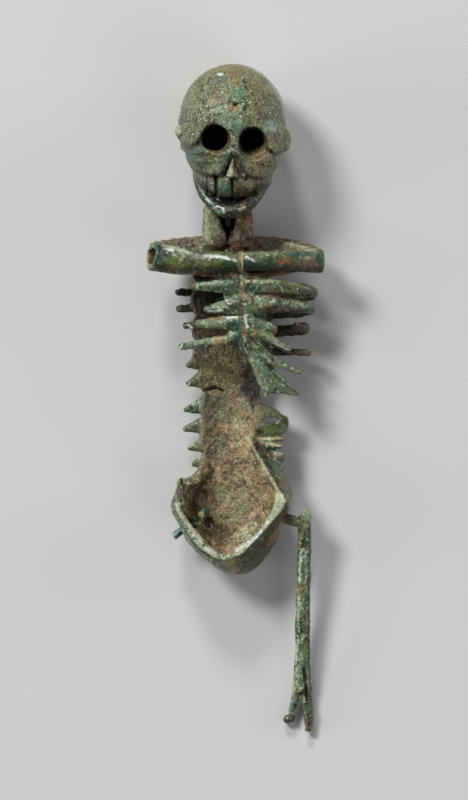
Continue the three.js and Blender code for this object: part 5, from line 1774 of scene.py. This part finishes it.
    def cast(self) -> Form:
        """Puts all the forms together and cuts the hollows."""
        bowl = cut(self.bowl_body(False), [self.bowl_body(True)])
        curl = rod(self.wall_curl, even(0.28), even(0.75), 16, 24)
        forms = [
            bowl, curl, self.back(), *self.back_bands(), self.shoulder(), self.bar(), *self.neck(),
            *self.front_ribs(), self.front_web(), self.breast_leaf(), self.loin_loop(), *self.stubs(),
            *self.loin_stumps(), self.flake(),
        ]
        torso = fuse(forms, self.voxel)
        return cut(torso, self.room())

    def carve(self, skin: Skin) -> None:
        """Cuts the lines and roughens each region in its own way."""
        skin.groove([
            Groove(((0.75, 14.8), (0.72, 12.6)), 0.17, 0.3, 6.0),
            Groove(((0.6, 12.3), (0.85, 10.8), (0.8, 9.3), (1.15, 7.6), (1.1, 6.0)), 0.19, 0.2, 5.6),
            Groove(((-3.2, 0.8), (-1.9, 1.15), (-1.0, 0.8)), 0.13, 0.5),
            Groove(((1.7, 6.1), (3.0, 4.9), (4.0, 3.7)), 0.11, 0.28, 5.0),
            Groove(((1.9, 4.9), (3.0, 3.7), (3.9, 2.9)), 0.1, 0.2, 5.0),
            Groove(((-0.8, -16.0), (-0.1, -16.8), (0.2, -17.5)), 0.3, -0.25),
        ])
        skin.swell([Swell((-2.4, -12.3, 2.2), (0.55, 0.45, 1.0), -0.5)])
        self.weather(skin)
        skin.hold_in(self.node)

    def regions(self, skin: Skin) -> dict[str, Array]:
        """Shares of the skin in the shoulder's hollow, under the back's and bowl's earth, and on the rim."""
        x, y, z = skin.points.T
        up = ramp(skin.normals[:, 2], -0.1, 0.45)
        shoulder = ramp(y, 14.2, 14.9) * ramp(z, 6.7, 6.2) * ramp(skin.normals[:, 2], -0.3, 0.2)
        under_bar = ramp(y, 13.2, 12.8) * ramp(y, 11.7, 12.1) * ramp(z, 6.9, 6.5) * up
        outer = Course([(rx, ry, 0.0) for rx, ry, _, _, _ in self.bowl_rim], closed=True)
        enclosed = self.enclosed(skin, [tuple(outer.at(share)[:2]) for share in np.arange(0.0, 1.0, 0.01)])
        count = len(self.bowl_rim)
        edge = skin.from_line([outer.at(share)[:2] for share in np.linspace(4 / count, 12 / count, 60)])
        breadth = between(0.6, 1.15, ramp(x, 2.6, 4.8)) + 0.1 * skin.cloud(0.8, 2, 15.0)
        rim = enclosed * ramp(edge, breadth + 0.12, breadth - 0.08)
        rim *= ramp(skin.normals[:, 2], 0.3, 0.6) * ramp(z, 5.4, 5.9)
        inside = enclosed * up * (1 - rim)
        aside = np.abs(x - self.shell_x) + 0.5 * skin.cloud(1.3, 2, 8.0)
        trough = ramp(y, 6.0, 4.5) * ramp(y, -9.0, -7.0) * ramp(aside, 3.7, 1.9) * ramp(z, 3.6, 2.9)
        earth = np.maximum(inside, trough * up)
        return {"shoulder": np.maximum(shoulder, under_bar), "earth": earth, "rim": rim}

    @staticmethod
    def enclosed(skin: Skin, outline: Sequence[tuple[float, float]]) -> Array:
        """One for the points that an outline encloses, seen from the front, and zero for the others."""
        x, y = skin.points[:, 0], skin.points[:, 1]
        crossings = np.zeros(len(x), bool)
        for (x1, y1), (x2, y2) in zip(outline, [*outline[1:], outline[0]]):
            spans = (y1 > y) != (y2 > y)
            crossings ^= spans & (x < (x2 - x1) * (y - y1) / (y2 - y1 + 1e-12) + x1)
        return crossings.astype(float)

    def weather(self, skin: Skin) -> None:
        """Roughens the skin, more in the shoulder's hollow and in the earth than on the worn metal."""
        regions = self.regions(skin)
        rough = np.clip(regions["shoulder"] + regions["earth"], 0.0, 1.0)
        skin.weather(Grain(lumps=0.035, crust=0.035, pits=0.07), 1.0 - rough, 9.0)
        skin.weather(Grain(lumps=0.08, crust=0.045, pits=0.05, lump_size=1.1, crust_size=0.34), rough, 10.0)
        skin.weather(Grain(lumps=0.09, crust=0.06, pits=0.0, lump_size=0.7), regions["shoulder"], 11.0)

    def paint(self, skin: Skin) -> Coat:
        """Lays on the colours of the torso, with painted shade and painted highlights among them."""
        regions = self.regions(skin)
        x, y, z = skin.points.T
        up = ramp(skin.normals[:, 2], -0.1, 0.5)
        coat = Coat(skin, T.FERN, 0.45)
        coat.mottle(1.8, T.PINE, 0.5, 31.0, 0.85)
        coat.mottle(0.8, T.SAGE, 0.3, 32.0)
        coat.mottle(0.8, T.EARTH, 0.3, 33.0, 0.15)
        coat.mottle(0.4, T.INK, 0.35, 34.0, 0.7)
        coat.mottle(0.3, T.FROST, 0.25, 42.0, 0.8)
        back = ramp(skin.normals[:, 2], 0.1, -0.4)
        coat.lay(back * 0.7, T.DUSK, 0.2)
        # Painted shade inside the rib cage: umber, with rust specks, and black on the upward faces between
        # the upper ribs.
        deep = ramp(z, 5.2, 3.4) * ramp(y, 13.0, 12.0) * ramp(y, 2.5, 4.5)
        coat.lay(deep * 0.8, T.UMBER, 0.1)
        coat.mottle(0.4, T.RUST, 0.3, 44.0, 0.0, deep * 0.8)
        coat.lay(deep * up * ramp(y, 7.0, 9.5) * 0.7, T.BLACK, 0.0)
        shoulder, earth = regions["shoulder"], regions["earth"]
        coat.lay(shoulder * 0.8, T.EARTH, 0.0)
        coat.mottle(0.45, T.UMBER, 0.75, 35.0, 0.3, shoulder)
        coat.mottle(0.4, T.SAGE, 0.3, 36.0, 0.1, shoulder)
        coat.mottle(0.25, T.SAND, 0.3, 48.0, 0.5, shoulder * 0.7)
        coat.lay(earth * 0.95, T.TAN, 0.0)
        coat.mottle(1.2, T.EARTH, 0.55, 37.0, 0.0, earth)
        coat.mottle(0.9, T.SAGE, 0.35, 38.0, 0.0, earth)
        coat.dab(BAR_DABS + RIB_DABS + PELVIS_DABS)
        coat.mottle(0.25, T.SAND, 0.35, 39.0, 0.2, earth * 0.6)
        coat.mottle(0.22, T.UMBER, 0.25, 40.0, 0.0, earth * 0.7)
        ragged = np.hypot((x - 2.3) / 1.6, (y - 2.0) / 2.9) + 0.15 * skin.cloud(0.6, 3, 49.0)
        shaded = ramp(ragged, 1.15, 0.7) * ramp(z, 4.6, 3.8) * up
        coat.lay(shaded, T.BLACK, 0.0)
        coat.mottle(0.25, T.UMBER, 0.6, 51.0, 0.0, shaded)
        # Ink specks of painted shade on the upward faces inside the rib cage.
        coat.mottle(0.35, T.INK, 0.8, 45.0, 0.0, deep * up)
        waist = ramp(y, 5.5, 4.5) * ramp(y, 0.5, 1.5) * ramp(x, 1.5, 0.5) * ramp(z, 3.6, 2.9)
        waist *= up * (1 - shaded)
        coat.mottle(0.3, T.STRAW, 0.5, 46.0, 0.1, waist)
        coat.mottle(0.25, T.DUSK, 0.5, 47.0, 0.3, waist)
        coat.lay(regions["rim"] * 0.75, T.FROST, 0.5)
        coat.mottle(0.4, T.SAGE, 0.5, 41.0, 0.6, regions["rim"] * 0.7)
        coat.mottle(0.35, T.IRON, 0.5, 43.0, 0.8, regions["rim"] * ramp(x, 1.8, 0.2))
        coat.mottle(0.4, T.UMBER, 0.5, 50.0, 0.3, ramp(x, 3.5, 5.5) * ramp(y, 2.0, 3.5) * ramp(y, 12.4, 12.0))
        coat.draw(BAR_STROKES + RIB_STROKES + PELVIS_STROKES)
        coat.grit = between(0.8, 1.25, np.clip(shoulder + earth, 0.0, 1.0)) * between(1.0, 0.55, coat.gloss)
        return coat

    def build(self) -> Form:
        """Makes the torso."""
        skin = Skin(ease(melt(self.cast(), self.voxel), 0.5, 2))
        self.carve(skin)
        return self.hand_over(skin, self.paint(skin))


# The colours of the wire: sand and teal nubs, with painted shade in ink where it goes into the bowl's wall
# and painted highlights in sky blue near its outer end.
WIRE_DABS = (
    (-3.25, -11.6, 0.36, 0.42, T.SAND, 0.95, 0, 0.3), (-2.55, -11.1, 0.4, 0.4, T.TEAL, 0.9),
    (-3.9, -12.2, 0.7, 0.3, T.INK, 0.8, 36), (-5.9, -13.6, 0.25, 0.3, T.SKY, 0.5),
    (-5.2, -13, 0.5, 0.12, T.SKY, 0.5, 36, 0.9),
)


@dataclass
class HipWire(Piece):
    """The stub of wire on which the lost right leg hung."""

    node: str = "right_hip_wire"
    slot: str = "wire_bronze"
    finish: Patina = Patina("wire_patina", grain=0.16, contrast=0.35, dark=0.3, pale=0.3, pale_tint=T.MINT)
    voxel: float = 0.03
    path: tuple = ((-2.9, -11.5, 3.4), (-4.3, -12.5, 3.42), (-5.95, -13.8, 3.4))
    radii: tuple[float, ...] = (0.3, 0.24, 0.3, 0.38, 0.38)
    nubs: tuple = (((-3.2, -11.6, 3.8), (0.38, 0.42, 0.42)), ((-2.75, -11.25, 3.8), (0.44, 0.4, 0.42)))

    def build(self) -> Form:
        """Makes the wire."""
        wire = rod(self.path, swept(self.radii), swept(self.radii), 20, 40, blunt=(False, True))
        forms = [wire, *(ball(*nub, 2.0, 24) for nub in self.nubs)]
        skin = Skin(ease(fuse(forms, self.voxel), 0.5, 2))
        skin.weather(Grain(lumps=0.03, crust=0.02, pits=0.03, lump_size=0.8, crust_size=0.25), 1.0, 14.0)
        coat = Coat(skin, T.TEAL, 0.6)
        coat.mottle(0.8, T.JADE, 0.7, 41.0)
        coat.dab(WIRE_DABS)
        return self.hand_over(skin, coat)


# The colours of the thigh.
LEG_DABS = (
    (7.2, -11.6, 0.5, 0.9, T.SAGE, 0.7), (5.7, -12, 1.2, 0.8, T.OLIVE, 0.8, 0, 0.3),
    (5.4, -11.6, 0.9, 0.25, T.UMBER, 0.7), (6.3, -12.4, 0.4, 0.3, T.TAN, 0.5),
    (7.1, -13.3, 0.5, 0.6, T.EARTH, 0.35), (6.9, -14.8, 0.6, 0.18, T.RUST, 0.45),
    (6.8, -19.3, 0.5, 0.8, T.STRAW), (6.8, -18.6, 0.5, 0.2, T.EARTH), (7.3, -20, 0.3, 1, T.SLATE, 0.5),
    (7.3, -22.4, 0.4, 1.2, T.EARTH, 0.4), (7.2, -25.2, 0.4, 1, T.MOSS, 0.7),
    (6.6, -26.4, 0.35, 1.6, T.MINT, 0.35), (6.5, -29, 0.6, 0.9, T.SAGE, 0.4),
    (6.75, -30, 0.35, 0.22, T.ORANGE, 0.7), (5.8, -30.6, 0.3, 0.9, T.MINT, 0.4),
    (5.5, -32.1, 0.6, 0.6, T.INK, 0.9, 0, 0.9), (7.6, -31.2, 0.5, 1.4, T.DUSK),
    (7.6, -32.7, 0.5, 0.8, T.UMBER, 0.75),
)

# Painted highlights in the pale streaks along the thigh, and painted shade in the dark line down its right
# side and in the seam at the knee; thin dark streaks run along it too.
LEG_STROKES = (
    (((7.75, -12.6), (7.75, -18), (7.65, -24), (7.8, -29), (7.95, -31.5)), 0.2, T.INK, 0.8, 0.8),
    (((6.75, -15.3), (6.7, -17), (6.65, -18.4)), 0.1, T.WHITE, 0.5, 0.9),
    (((6.6, -19.9), (6.55, -22)), 0.1, T.FROST, 0.7, 0.9),
    (((6.4, -12.9), (6.45, -14.4)), 0.1, T.FROST, 0.5, 0.9),
    (((7.2, -15.6), (7.3, -17.2)), 0.12, T.SKY, 0.5, 0.9),
    (((6.35, -20), (6.3, -24), (6.1, -27.5)), 0.08, T.INK),
    (((6.35, -24.6), (6.3, -26.6)), 0.1, T.FROST, 0.6, 0.9),
    (((6.5, -24.2), (6.45, -25.4)), 0.08, T.WHITE, 0.4, 0.9),
    (((7.1, -26.9), (7.25, -28.4), (7.15, -29.8)), 0.1, T.INK, 0.8),
    (((7.5, -27), (7.6, -29.5)), 0.08, T.SAGE, 0.6, 0.9), (((5.85, -28.6), (5.75, -30.4)), 0.07, T.INK),
    (((6.1, -27.8), (6, -29.6)), 0.09, T.FROST, 0.6, 0.9),
)


@dataclass
class LeftLeg(Piece):
    """The left thigh: a worn rod with its hip tenon at the top, forked at the knee."""

    node: str = "left_leg"
    slot: str = "leg_bronze"
    finish: Patina = Patina("leg_patina", grain=0.18, contrast=0.4, dark=0.35, pale=0.55)
    voxel: float = 0.06
    middle: tuple = ((7.2, -11.7), (7.17, -13.5), (7.1, -17.0), (7.0, -21.0), (6.97, -25.0), (6.85, -29.5))
    half_widths: tuple[float, ...] = (0.64, 0.67, 0.68, 0.7, 0.76, 0.74, 0.84, 0.98)
    fork: tuple = (
        (((6.45, -28.4), (6.22, -30.05), (5.9, -31.3), (5.98, -32.5)), (0.45, 0.4, 0.32, 0.2)),
        (((7.3, -28.4), (7.38, -30.05), (7.5, -31.3), (7.62, -33.5)), (0.5, 0.56, 0.54, 0.44)),
    )
    knob: tuple = ((5.42, -32.15, 0.6), (0.42, 0.46, 0.56))
    eye: tuple[float, float, float] = (5.45, -32.05, 0.2)
    hip: tuple = ((7.22, -11.74, 4.2), (0.64, 0.82, 0.64))
    tenon: tuple = ((4.5, -11.8, 4.1), (6.9, -12.35, 4.1), 0.55)
    peak: tuple[float, float] = (7.25, -10.93)
    peak_slopes: tuple[float, float] = (1.2, 1.4)
    half_depth: float = 0.62
    hip_z: float = 4.2
    knee_z: float = 1.1

    def cast(self) -> Form:
        """Puts the rod, the fork and the tenon together."""
        hip_y, knee_y = self.middle[0][1], self.middle[-1][1]
        path = []
        for x, y in self.middle:
            sunk = ((hip_y - y) / (hip_y - knee_y)) ** 1.1
            path.append((x, y, between(self.hip_z, self.knee_z, sunk)))
        forms = [rod(path, swept(self.half_widths), even(self.half_depth), 28, 80, blunt=(True, False))]
        for places, halves in self.fork:
            prong = [(x, y, between(self.knee_z, 0.6, i / 3)) for i, (x, y) in enumerate(places)]
            forms.append(rod(prong, swept(halves), even(self.half_depth * 0.9), 20, 40))
        forms += [
            ball(*self.knob, 2.0, 28),
            ball(*self.hip, 3.0, 28),
            pin(*self.tenon, rings=24),
        ]
        x, y, radius = self.eye
        return cut(fuse(forms, self.voxel), [pin((x, y, -2.0), (x, y, 2.0), radius, 20, reference=ALONG)])

    def carve(self, skin: Skin) -> None:
        """Draws the top to a slanted point, cuts the seam at the knee and roughens the rod."""
        x, y = skin.points[:, 0], skin.points[:, 1]
        (peak_x, peak_y), (left, right) = self.peak, self.peak_slopes
        peak = peak_y - np.where(x > peak_x, right * (x - peak_x), left * (peak_x - x))
        at_top = ramp(y, -12.2, -11.6) * ramp(x, 6.3, 6.5)
        skin.points[:, 1] = np.where(at_top > 0.5, np.minimum(y, peak), y)
        skin.refresh()
        skin.soften(at_top, 3)
        skin.groove([Groove(((7.1, -27.1), (7.3, -28.6), (7.45, -30.2)), 0.1, 0.3)])
        skin.weather(Grain(lumps=0.045, crust=0.035, pits=0.07, lump_size=1.4, crust_size=0.35), 1.0, 19.0)
        skin.hold_in(self.node)

    def paint(self, skin: Skin) -> Coat:
        """Lays on the colours of the leg: greens, with pale streaks painted as highlights on its left and a
        dark line painted as shade down its right side.
        """
        coat = Coat(skin, T.FERN, 0.6)
        coat.mottle(1.0, T.PINE, 0.5, 51.0, 0.9)
        coat.mottle(0.7, T.SAGE, 0.65, 52.0)
        coat.mottle(0.3, T.FROST, 0.35, 53.0, 0.8)
        coat.mottle(0.35, T.INK, 0.4, 54.0, 0.8)
        coat.dab(LEG_DABS)
        coat.draw(LEG_STROKES)
        coat.grit = between(1.0, 0.6, coat.gloss)
        return coat

    def build(self) -> Form:
        """Makes the leg."""
        skin = Skin(ease(melt(self.cast(), self.voxel), 0.5, 2))
        self.carve(skin)
        return self.hand_over(skin, self.paint(skin))


@dataclass
class Stage:
    """The pale table, the soft lights and the camera that looks straight down."""

    field_height: float = 80.0
    camera_height: float = 1200.0
    look_at: tuple[float, float, float] = (0.1, -0.1, 5.0)
    sensor: float = 36.0
    lights: tuple = (
        ("key", (-0.85, 0.85, 1.15), 0.45, 17.8, (1.0, 0.99, 0.96)),
        ("left", (-1.3, -0.1, 0.36), 0.65, 4.4, (1.0, 1.0, 0.98)),
        ("right", (1.3, 0.4, 0.36), 0.65, 3.75, (1.0, 1.0, 0.98)),
        ("top", (-0.25, 1.35, 0.85), 0.3, 9.4, (1.0, 1.0, 0.98)),
        ("fill", (1.05, -0.75, 1.12), 1.0, 3.75, (0.98, 0.99, 1.0)),
    )
    air: float = 0.12
    air_tone: tuple = (0.82, 0.82, 0.82, 1.0)
    table_size: float = 24.0
    table_tone: tuple = (0.68, 0.68, 0.69, 1.0)

    def table(self) -> Form:
        """The plain pale table top."""
        let_go()
        bpy.ops.mesh.primitive_plane_add(size=self.table_size, location=(0.0, 0.0, 0.0))
        table = bpy.context.active_object
        table.name = "table"
        b = Brew("pale_table")
        shader = b.add("BsdfPrincipled", Base_Color=self.table_tone, Roughness=1.0, Specular_IOR_Level=0.1)
        b.add("OutputMaterial", Surface=shader.outputs["BSDF"])
        table.data.materials.append(b.material)
        return table

    def light(self) -> None:
        """Sets up the soft lights and the pale air around."""
        aim = Vector((0.0, 0.0, 0.005))
        for name, place, size, power, colour in self.lights:
            bpy.ops.object.light_add(type="AREA", location=place)
            lamp = bpy.context.active_object
            lamp.name = name + "_light"
            lamp.data.shape = "DISK"
            lamp.data.size = size
            lamp.data.energy = power
            lamp.data.color = colour
            lamp.rotation_euler = (aim - Vector(place)).to_track_quat("-Z", "Y").to_euler()
        world = bpy.data.worlds.new("air")
        world.use_nodes = True
        back = world.node_tree.nodes["Background"]
        back.inputs["Color"].default_value = self.air_tone
        back.inputs["Strength"].default_value = self.air
        bpy.context.scene.world = world

    def camera(self) -> None:
        """Puts the camera high over the figure, with a long lens."""
        x, y, z = (v * MM for v in self.look_at)
        bpy.ops.object.camera_add(location=(x, y, z + self.camera_height * MM), rotation=(0.0, 0.0, 0.0))
        camera = bpy.context.active_object
        camera.name = "view_from_above"
        camera.data.sensor_width = self.sensor
        camera.data.sensor_fit = "AUTO"
        camera.data.lens = self.sensor * self.camera_height / self.field_height
        camera.data.clip_start = 0.01
        bpy.context.scene.camera = camera

    def build(self) -> None:
        """Makes the stage."""
        self.table()
        self.light()
        self.camera()
        bpy.context.scene.view_settings.view_transform = "Standard"


def main() -> None:
    """Builds the stage and every piece in order."""
    logging.basicConfig(level=logging.INFO, format="%(relativeCreated)d %(message)s")
    Stage().build()
    for piece in (Skull(), Torso(), HipWire(), LeftLeg()):
        piece.build()


if __name__ == "__main__":
    main()
